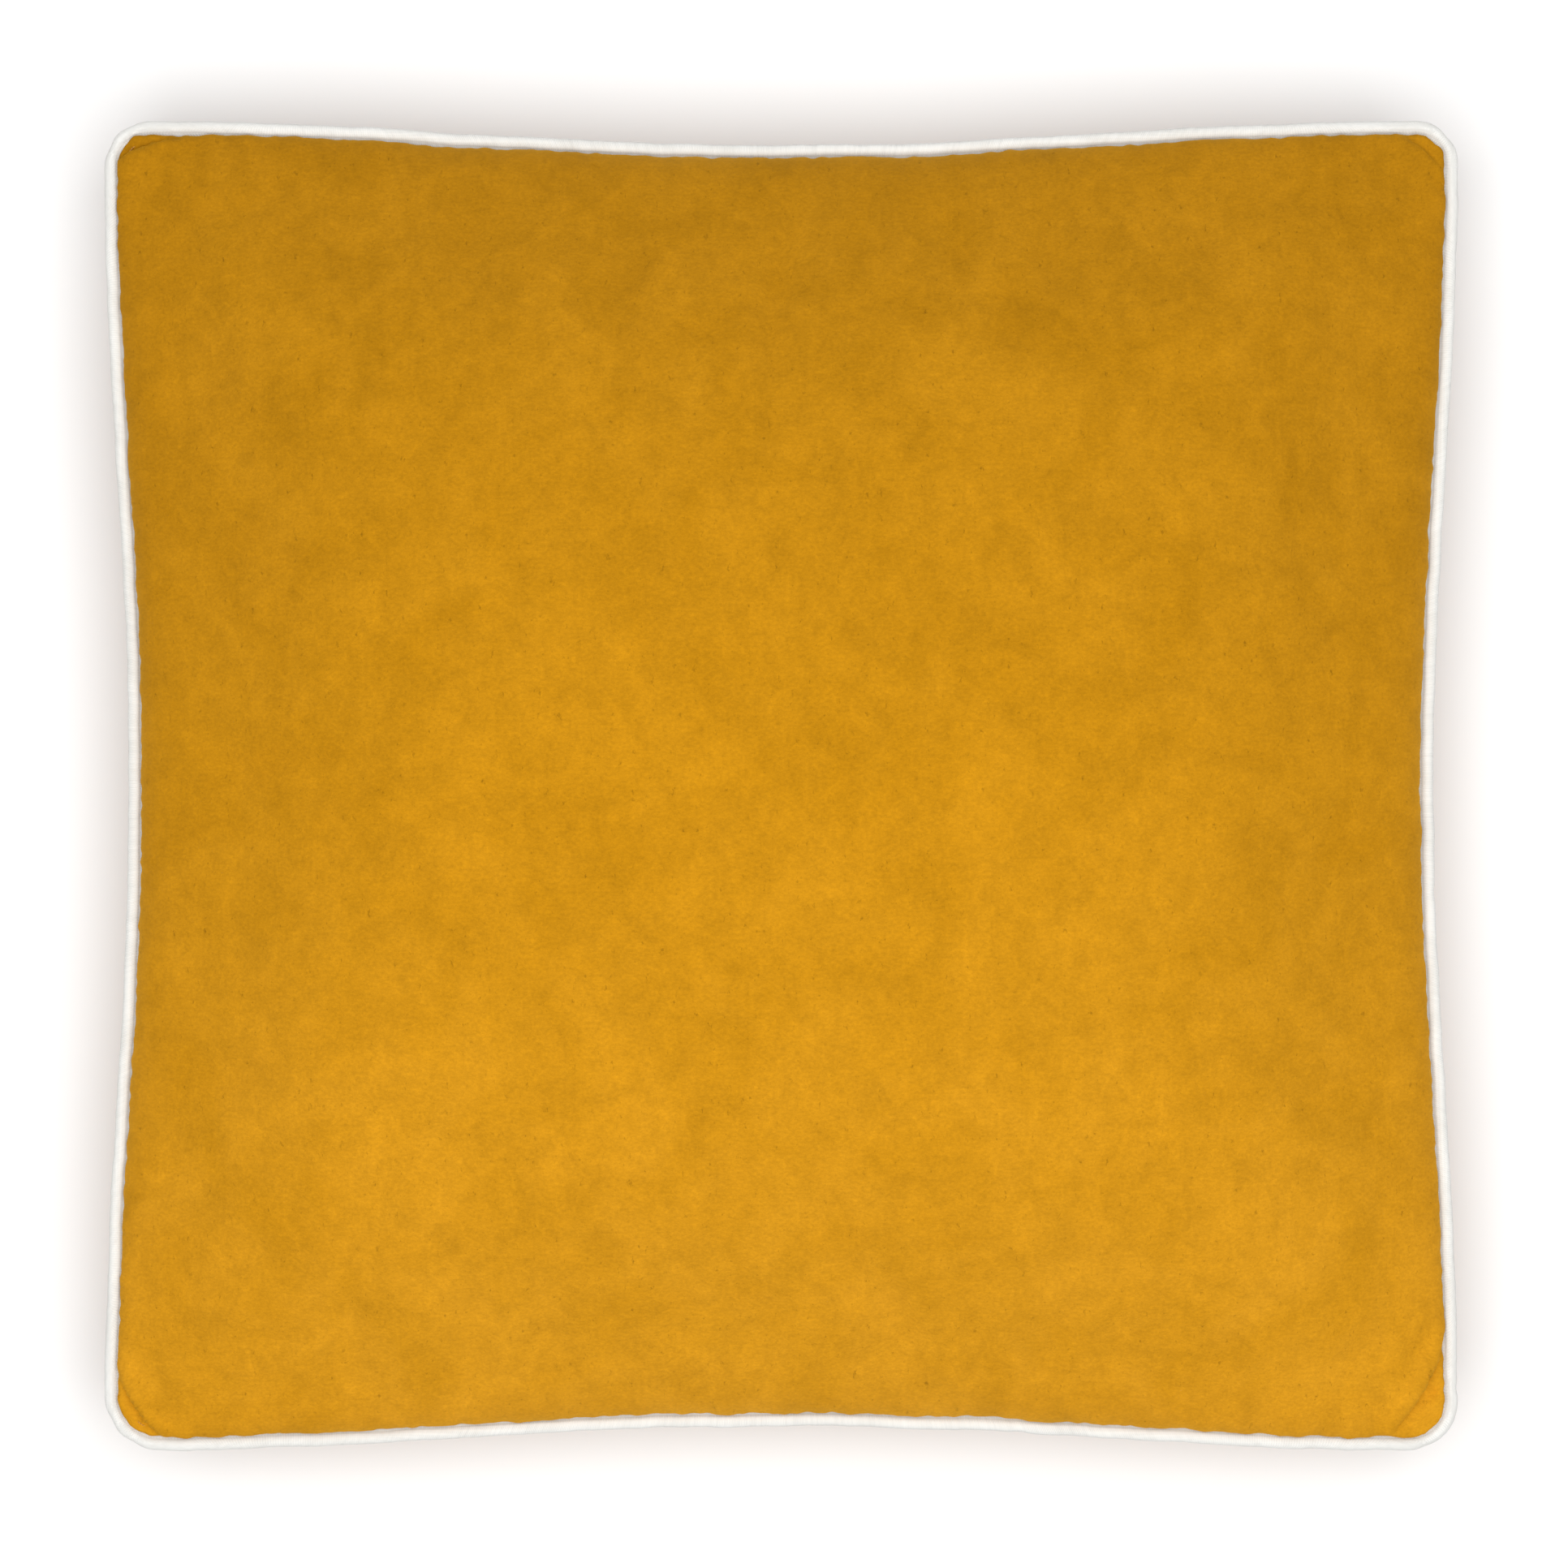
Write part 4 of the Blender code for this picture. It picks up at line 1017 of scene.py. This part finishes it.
def unroll(bm, radius):
    """A UV map in metres for a piece carried round the seam: along it, and round its section."""
    pattern = bm.loops.layers.uv.new("UVMap")
    angles = {vert: math.atan2(vert.co.y / HALF_Y, vert.co.x / HALF_X) for vert in bm.verts}
    for face in bm.faces:
        base = angles[face.loops[0].vert]
        for loop in face.loops:
            x, y = loop.vert.co.x, loop.vert.co.y
            angle = angles[loop.vert]
            if angle - base > math.pi:
                angle -= math.tau
            elif base - angle > math.pi:
                angle += math.tau
            out = max(abs(x) - HALF_X, abs(y) - HALF_Y)
            rise = math.atan2(loop.vert.co.z - SEAM, out - PIPING_REACH + 1e-9)
            loop[pattern].uv = (angle / math.tau * RING_LENGTH, rise * radius)


# %% The strip, and the cord inside it
PLY = 0.6 * MM
CORD_ROOM = PIPING_RADIUS - PLY
ROUND, ROUND_INSIDE = 18, 12             # points round the outside and the inside of the keyhole
PLY_DEPTH = 9.6 * MM                    # how far the plies run into the seam


def cord_centre(i):
    return PIPING_REACH + 0.10 * MM * ring_pull[i] - ring_nick[i] * 0.5


def on_circle(centre, radius, angle):
    return centre + radius * math.cos(angle), radius * math.sin(angle)


def strip_section(i):
    """The keyhole: round the outside of the cord, in along one ply, back along the other, and inside."""
    fat = 1 + 0.035 * ring_pull[i] - ring_nick[i] / PIPING_RADIUS * 0.8
    centre = cord_centre(i)
    outer_end = math.pi - math.asin((PLY + 0.15 * MM) / PIPING_RADIUS)
    inner_end = math.pi - math.asin(0.15 * MM / CORD_ROOM)
    points = [(-PLY_DEPTH, 0.15 * MM), (-PLY_DEPTH, 0.75 * MM)]
    for angle in np.linspace(outer_end, -outer_end, ROUND):
        swell = 1 + 0.02 * noise.noise((ring_x[i] / 0.004, ring_y[i] / 0.004, angle * 1.2))
        points.append(on_circle(centre, PIPING_RADIUS * fat * swell, angle))
    points += [(-PLY_DEPTH, -0.75 * MM), (-PLY_DEPTH, -0.15 * MM)]
    for angle in np.linspace(-inner_end, inner_end, ROUND_INSIDE):
        points.append(on_circle(centre, CORD_ROOM * fat, angle))
    return points


strip = carried_round(strip_section)
unroll(strip, PIPING_RADIUS)
add_piece("piping_strip", strip, "piping_cloth", "piping_cover")

CORD_RADIUS = 1.6 * MM


def cord_section(i):
    """Three soft strands laid together, turning once every 12 mm."""
    lay = math.tau * round(RING_LENGTH / (12 * MM)) * i / STATIONS
    points = []
    for angle in np.linspace(-math.pi, math.pi, ROUND + 1)[:-1]:
        strand = 0.86 + 0.09 * abs(math.cos(1.5 * (angle - lay / 3)))
        radius = CORD_RADIUS * strand * (1 - ring_nick[i] / PIPING_RADIUS)
        points.append(on_circle(cord_centre(i), radius, angle))
    return points


filler = carried_round(cord_section)
unroll(filler, CORD_RADIUS)
add_piece("piping_filler_cord", filler, "cotton", "piping_cord")

# %% [markdown]
# ## The seam's thread
# A lockstitch has a thread on each side of the cloth. Seen along the seam, each stitch is a short arch that
# dives into the cloth at both ends, so the thread is a tube whose height rises and falls with the stitches.


# %% Seam threads
def stitched_section(out, level, radius, length, lift):
    count = round(RING_LENGTH / length)

    def section(i):
        arch = abs(math.sin(math.pi * count * i / STATIONS))
        rise = level + math.copysign(lift, level) * (arch - 1)
        return [(out + radius * math.cos(a), rise + radius * math.sin(a))
                for a in np.linspace(0, math.tau, 7)[:-1]]

    return section


NEEDLE_OUT, NEEDLE_LEVEL = -3.0 * MM, 2.62 * MM
for name, node, side in (("seam_needle_thread", "cover_needle_thread", 1),
                         ("seam_bobbin_thread", "cover_bobbin_thread", -1)):
    thread = carried_round(stitched_section(NEEDLE_OUT, side * NEEDLE_LEVEL, 0.24 * MM, 9 * MM, 0.12 * MM))
    unroll(thread, 0.25 * MM)
    add_piece(name, thread, "ochre_thread", node)

# %% [markdown]
# ## The insert
# Inside the cover lies the insert: a plain white case, sewn round its edge and filled with loose fibre. It
# follows the stuffed cover a few millimetres inside it, so that nothing shows through the velvet. The
# filling follows the case in the same way, and its surface is broken up into tufts.

# %% The case
INSERT_IN, FILLING_IN = 13 * MM, 23 * MM                 # drawn in from the cover's seam


def inset_form(inset, clear, side, seam_rise, tufts=0.0):
    """The cover's face moved inside: drawn in by the inset at the seam and kept clear of the velvet."""
    def form(x, y):
        x, y = np.atleast_1d(x).astype(float), np.atleast_1d(y).astype(float)
        cover = cover_front if side > 0 else cover_back
        face = cover(x, y)
        # the drawn-in point lies under another part of the velvet: the innermost face on the way counts
        for share in (0.35, 0.7, 1.0, 1.3):
            passed = cover(x * (1 - share * inset / HALF_X), y * (1 - share * inset / HALF_Y))[:, 2]
            face[:, 2] = np.minimum(face[:, 2], passed) if side > 0 else np.maximum(face[:, 2], passed)
        points = face.copy()
        points[:, 0] *= 1 - inset / HALF_X
        points[:, 1] *= 1 - inset / HALF_Y
        inward = inward_of(x, y)
        shoulder = smooth_step(0, 30 * MM, inward) * (1 - smooth_step(60 * MM, 120 * MM, inward))
        depth = clear + 4.0 * MM * shoulder
        if side > 0:
            level = SEAM + (face[:, 2] - SEAM) * (1 - depth / 0.05)
            level = np.minimum(level, face[:, 2] - clear)
            level = SEAM + seam_rise + (level - SEAM) * 0.985 * (smooth_step(-6 * MM, 26 * MM, inward))
        else:
            level = np.maximum(face[:, 2] + clear, clear)
            level = SEAM - seam_rise + (level - SEAM) * smooth_step(-6 * MM, 26 * MM, inward) * 0.985
            level = np.maximum(level, clear)
        if tufts:
            bumps = np.array([noise.fractal((a / 0.03, b / 0.03, side * 3.0), 0.8, 2.1, 4)
                              for a, b in zip(x, y)])
            level -= side * tufts * (0.5 + 0.5 * np.clip(bumps, -1, 1)) * smooth_step(0, 20 * MM, inward)
        points[:, 2] = level
        return points
    return form


CASE_ROLL = [(0.1, -0.4), (0.0, -0.8), (-0.6, -1.02), (-3, -1.05), (-7.5, -1.05)]


def make_case(name, node, side):
    bm = cut_sheet(crowded(HALF_X, CASE_LINES), crowded(HALF_Y, CASE_LINES), halvings=0)
    if side < 0:
        bmesh.ops.reverse_faces(bm, faces=bm.faces)
    place_sheet(bm, inset_form(INSERT_IN, 3.2 * MM, side, 1.2 * MM))
    outline = [edge for edge in bm.edges if edge.is_boundary]
    roll_edge(bm, outline, CASE_ROLL, Vector((0, 0, side)))
    lay_pattern(bm)
    case = add_piece(name, bm, "ticking", node, thickness=0.5 * MM)


make_case("insert_case_front", "insert_shell_front", 1)
make_case("insert_case_back", "insert_shell_back", -1)


# %% The fibre filling
def make_filling():
    """Front and back sheets of tufted fibre that meet at their edge and close the shape."""
    whole = bmesh.new()
    for side in (1, -1):
        bm = cut_sheet(crowded(HALF_X, FILLING_LINES), crowded(HALF_Y, FILLING_LINES), halvings=0)
        if side < 0:
            bmesh.ops.reverse_faces(bm, faces=bm.faces)
        place_sheet(bm, inset_form(FILLING_IN, 6.5 * MM, side, 0.0, tufts=2.2 * MM))
        join_in(whole, bm)
    rim = [vert for vert in whole.verts if any(edge.is_boundary for edge in vert.link_edges)]
    for vert in rim:
        vert.co.z = SEAM
    bmesh.ops.remove_doubles(whole, verts=rim, dist=0.2 * MM)
    filling = add_piece("fibre_filling", whole, "fibre", "insert_filling")


make_filling()


# %% The insert's seam threads and the labels
THREAD_STATIONS, INSERT_STITCHES = 900, 300


def insert_thread(name, node, side):
    rise = side * 1.02 * MM

    def place(u, v):
        i = round((u + 1) / 2 * THREAD_STATIONS) % THREAD_STATIONS
        j = round((v + 1) / 2 * 6) % 6
        k = i * STATIONS // THREAD_STATIONS
        arch = abs(math.sin(math.pi * INSERT_STITCHES * i / THREAD_STATIONS))
        out = -2.5 * MM + 0.17 * MM * math.cos(math.tau * j / 6)
        up = rise + side * 0.06 * MM * (arch - 1) + 0.17 * MM * math.sin(math.tau * j / 6)
        x = ring_x[k] * (1 - INSERT_IN / HALF_X) + ring_ox[k] * out
        y = ring_y[k] * (1 - INSERT_IN / HALF_Y) + ring_oy[k] * out
        return (x, y, SEAM + up)

    bm = rolled_up(THREAD_STATIONS, 6, place)
    face_outwards(bm)
    unroll(bm, 0.2 * MM)
    add_piece(name, bm, "white_thread", node)


insert_thread("insert_needle_stitches", "insert_needle_thread", 1)
insert_thread("insert_bobbin_stitches", "insert_bobbin_thread", -1)


def make_label(name, node):
    """A blank satin label, sewn in at its top edge and hanging with a slight wave."""
    low, high = (Vector(corner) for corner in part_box(node))
    middle = (low + high) / 2

    def place(u, v):
        along = middle.y + u * (high.y - low.y) / 2
        drop = (1 - v) / 2
        sway = 0.6 * MM * math.sin(math.pi * 1.5 * u + 0.6) * drop
        return (middle.x + sway, along, high.z - drop * (high.z - low.z))

    bm = laid_sheet(36, 14, place)
    lay_uv(bm, lambda vert: vert.co.yz)
    label = add_piece(name, bm, "label", node, thickness=0.3 * MM)
    label.modifiers["thickness"].offset = 0


make_label("blank_care_label", "care_label")
make_label("blank_insert_tag", "insert_tag")

# %% [markdown]
# ## The zip
# The coils are nylon monofilament wound into a flattened helix, one on each woven tape, half a turn out of
# step so that their heads interlock. The turns are made with one bmesh tube per coil. The tapes are thin
# woven bands, and the topstitching is a row of separate stitches, each an arch that dives into the velvet.

# %% Coils
COIL_START, COIL_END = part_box("zip_coil_upper")[0][0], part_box("zip_coil_upper")[1][0]
PITCH = 1.36 * MM
WIRE = 0.26 * MM
TURN_STEPS = 16
COIL_DEPTHS = (-0.60 * MM, -2.28 * MM)                   # outer and inner side of the coil, from the face


def make_coil(name, node, side):
    turns = int((COIL_END - COIL_START - 2 * WIRE) / PITCH) - 1
    outer, inner = COIL_DEPTHS
    middle, tall = (outer + inner) / 2, (outer - inner) / 2 - WIRE
    near, far = -0.28 * MM, 2.36 * MM - WIRE
    begin = COIL_START + WIRE + (0.0 if side > 0 else PITCH / 2)

    def path(t):
        turn = t * math.tau
        across = (near + far) / 2 - (far - near) / 2 * math.cos(turn)
        lean = 0.20 * PITCH * math.cos(turn)
        return on_zip(begin + t * PITCH + lean, side * across, middle + tall * math.sin(turn))

    def place(u, v):
        t = (u + 1) / 2 * turns
        here, ahead = path(t), path(t + 0.01)
        run = (ahead - here).normalized()
        upright = abs(run.dot(OUT)) > 0.99
        first = run.cross(Vector((1, 0, 0)) if upright else OUT.cross(run)).normalized()
        second = run.cross(first)
        angle = (v + 1) * math.pi
        return here + WIRE * (first * math.cos(angle) + second * math.sin(angle))

    bm = rolled_up(turns * TURN_STEPS, 6, place, closed_ends=True)
    face_outwards(bm)
    add_piece(name, bm, "zip_nylon", node)


make_coil("nylon_coil_lower", "zip_coil_lower", 1)
make_coil("nylon_coil_upper", "zip_coil_upper", -1)


# %% Tapes
def zip_pattern(bm, across):
    """A UV map along the zip and across it."""
    lay_uv(bm, lambda vert: (vert.co.x - ZIP_CENTRE.x, (vert.co - ZIP_CENTRE).dot(across)))


def make_tape(name, node, side):
    """A woven band, crimped a little along its length."""
    half_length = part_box(node)[1][0]
    near, far = 1.6 * MM, 11.0 * MM

    def place(u, v):
        along, share = u * half_length, (v + 1) / 2
        across = near + (far - near) * share
        wavy = 0.05 * MM * wave(along, across, 12 * MM, side * 5.0)
        return on_zip(along, side * across, wavy - 2.64 * MM)

    bm = laid_sheet(240, 12, place)
    bm.normal_update()
    outer_face = sum((face.normal for face in bm.faces), Vector())
    if outer_face.dot(OUT) < 0:
        bmesh.ops.reverse_faces(bm, faces=bm.faces)
    zip_pattern(bm, TOWARDS_SEAM)
    add_piece(name, bm, "zip_tape", node, thickness=0.45 * MM)


make_tape("woven_tape_lower", "zip_tape_lower", 1)
make_tape("woven_tape_upper", "zip_tape_upper", -1)


# %% Topstitching
STITCH, STITCH_GAP, THREAD = 3.1 * MM, 0.35 * MM, 0.25 * MM


def add_stitch(bm, start, end, high, deep, radius, sides=6, steps=8):
    """One stitch: a thread that arches over the cloth and dives into it at both ends."""
    run = (end - start).normalized()
    across = run.cross(OUT)

    def place(u, v):
        t = (u + 1) / 2
        rise = deep + (high - deep) * (1 - abs(2 * t - 1) ** 3.5)
        thin = radius * (0.55 + 0.45 * math.sin(math.pi * min(1, max(0, t))) ** 0.4)
        angle = (v + 1) * math.pi
        centre = start.lerp(end, t) + OUT * rise
        return centre + thin * (across * math.cos(angle) + OUT * math.sin(angle))

    stitch = rolled_up(steps, sides, place, closed_ends=True)
    face_outwards(stitch)
    join_in(bm, stitch)


def make_topstitch(name, node, side):
    bm = bmesh.new()
    count = int(2 * ZIP_HALF / (STITCH + STITCH_GAP))
    step = 2 * ZIP_HALF / count
    for k in range(count):
        start = -ZIP_HALF + k * step + STITCH_GAP / 2
        waver = 0.06 * MM * math.sin(k * 2.3)
        end = start + step - STITCH_GAP
        add_stitch(bm, on_zip(start, side * (STITCH_LINE + waver)), on_zip(end, side * (STITCH_LINE - waver)),
                   -0.10 * MM, -0.75 * MM, THREAD)
    zip_pattern(bm, TOWARDS_SEAM + OUT)
    add_piece(name, bm, "ochre_thread", node)


make_topstitch("topstitching_lower", "zip_topstitch_lower", 1)
make_topstitch("topstitching_upper", "zip_topstitch_upper", -1)


TACKS, TACK_WIDTH, TACK_SLANT = 15, 8.2 * MM, 0.25 * MM


def make_bartack(name, node):
    """Close zigzag stitches across the end of the opening."""
    low, high = (Vector(corner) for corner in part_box(node))
    bm = bmesh.new()
    for k in range(TACKS):
        across = ((k + 0.5) / TACKS - 0.5) * TACK_WIDTH
        add_stitch(bm, on_zip(low.x - 0.1 * MM, across - TACK_SLANT),
                   on_zip(high.x + 0.1 * MM, across + TACK_SLANT), 0.28 * MM, -0.3 * MM, 0.27 * MM)
    zip_pattern(bm, TOWARDS_SEAM + OUT)
    add_piece(name, bm, "ochre_thread", node)


make_bartack("bar_tack_left", "zip_bartack_left")
make_bartack("bar_tack_right", "zip_bartack_right")

# %% Finishes of the metal parts that are kept
for node in ("zip_slider", "zip_pull", "zip_bottom_stop", "zip_top_stop_upper", "zip_top_stop_lower"):
    frame["nodes"][node].material_slots[0].material = finishes["zip_metal"]

# %% [markdown]
# ## Floor, camera and light
# The pillow lies on a plain white floor and is seen from straight above with a long lens. A large soft light
# hangs overhead, a little towards the lower edge, a weak one stands beyond the top edge, and a pale sky fills
# the rest, so the shadow round the pillow is soft.

# %% Stage
def make_floor():
    bm = bmesh.new()
    bmesh.ops.create_grid(bm, x_segments=1, y_segments=1, size=3)
    mesh = into_mesh("floor", bm)
    floor = put("floor", mesh)
    mesh.transform(Matrix.Translation((0, 0, -0.4 * MM)))
    paper = Finish("white_paper", (0.82, 0.82, 0.82), 0.9)
    patches = paper.cloud(paper.place("Object"), 3)
    paper.colour(paper.blend_colours(patches, [(0, shade(0.815)), (1, shade(0.825))]))
    mesh.materials.append(finishes["white_paper"])


def look_down():
    camera = bpy.data.cameras.new("camera")
    camera.lens, camera.sensor_width = 100, 36
    eye = put("camera", camera)
    eye.location = (0.001, 0.0006, 1.695)
    scene.camera = eye


def soft_light(name, place, size, power):
    light = bpy.data.lights.new(name, "AREA")
    light.shape, light.energy = "RECTANGLE", power
    light.size, light.size_y = size
    lamp = put(name, light)
    lamp.location = place
    lamp.rotation_euler = (Vector((0, 0, 0.05)) - Vector(place)).to_track_quat("-Z", "Y").to_euler()


make_floor()
look_down()
soft_light("overhead_light", (0.03, -0.14, 2.0), (1.7, 1.6), 45)
soft_light("upper_light", (0, 1.5, 1.1), (1.6, 0.7), 2)
world = bpy.data.worlds.new("sky")
scene.world = world
world.use_nodes = True
sky = world.node_tree.nodes["Background"]
sky.inputs["Color"].default_value = (1, 1, 1, 1)
sky.inputs["Strength"].default_value = 0.46
scene.view_settings.view_transform = "Standard"
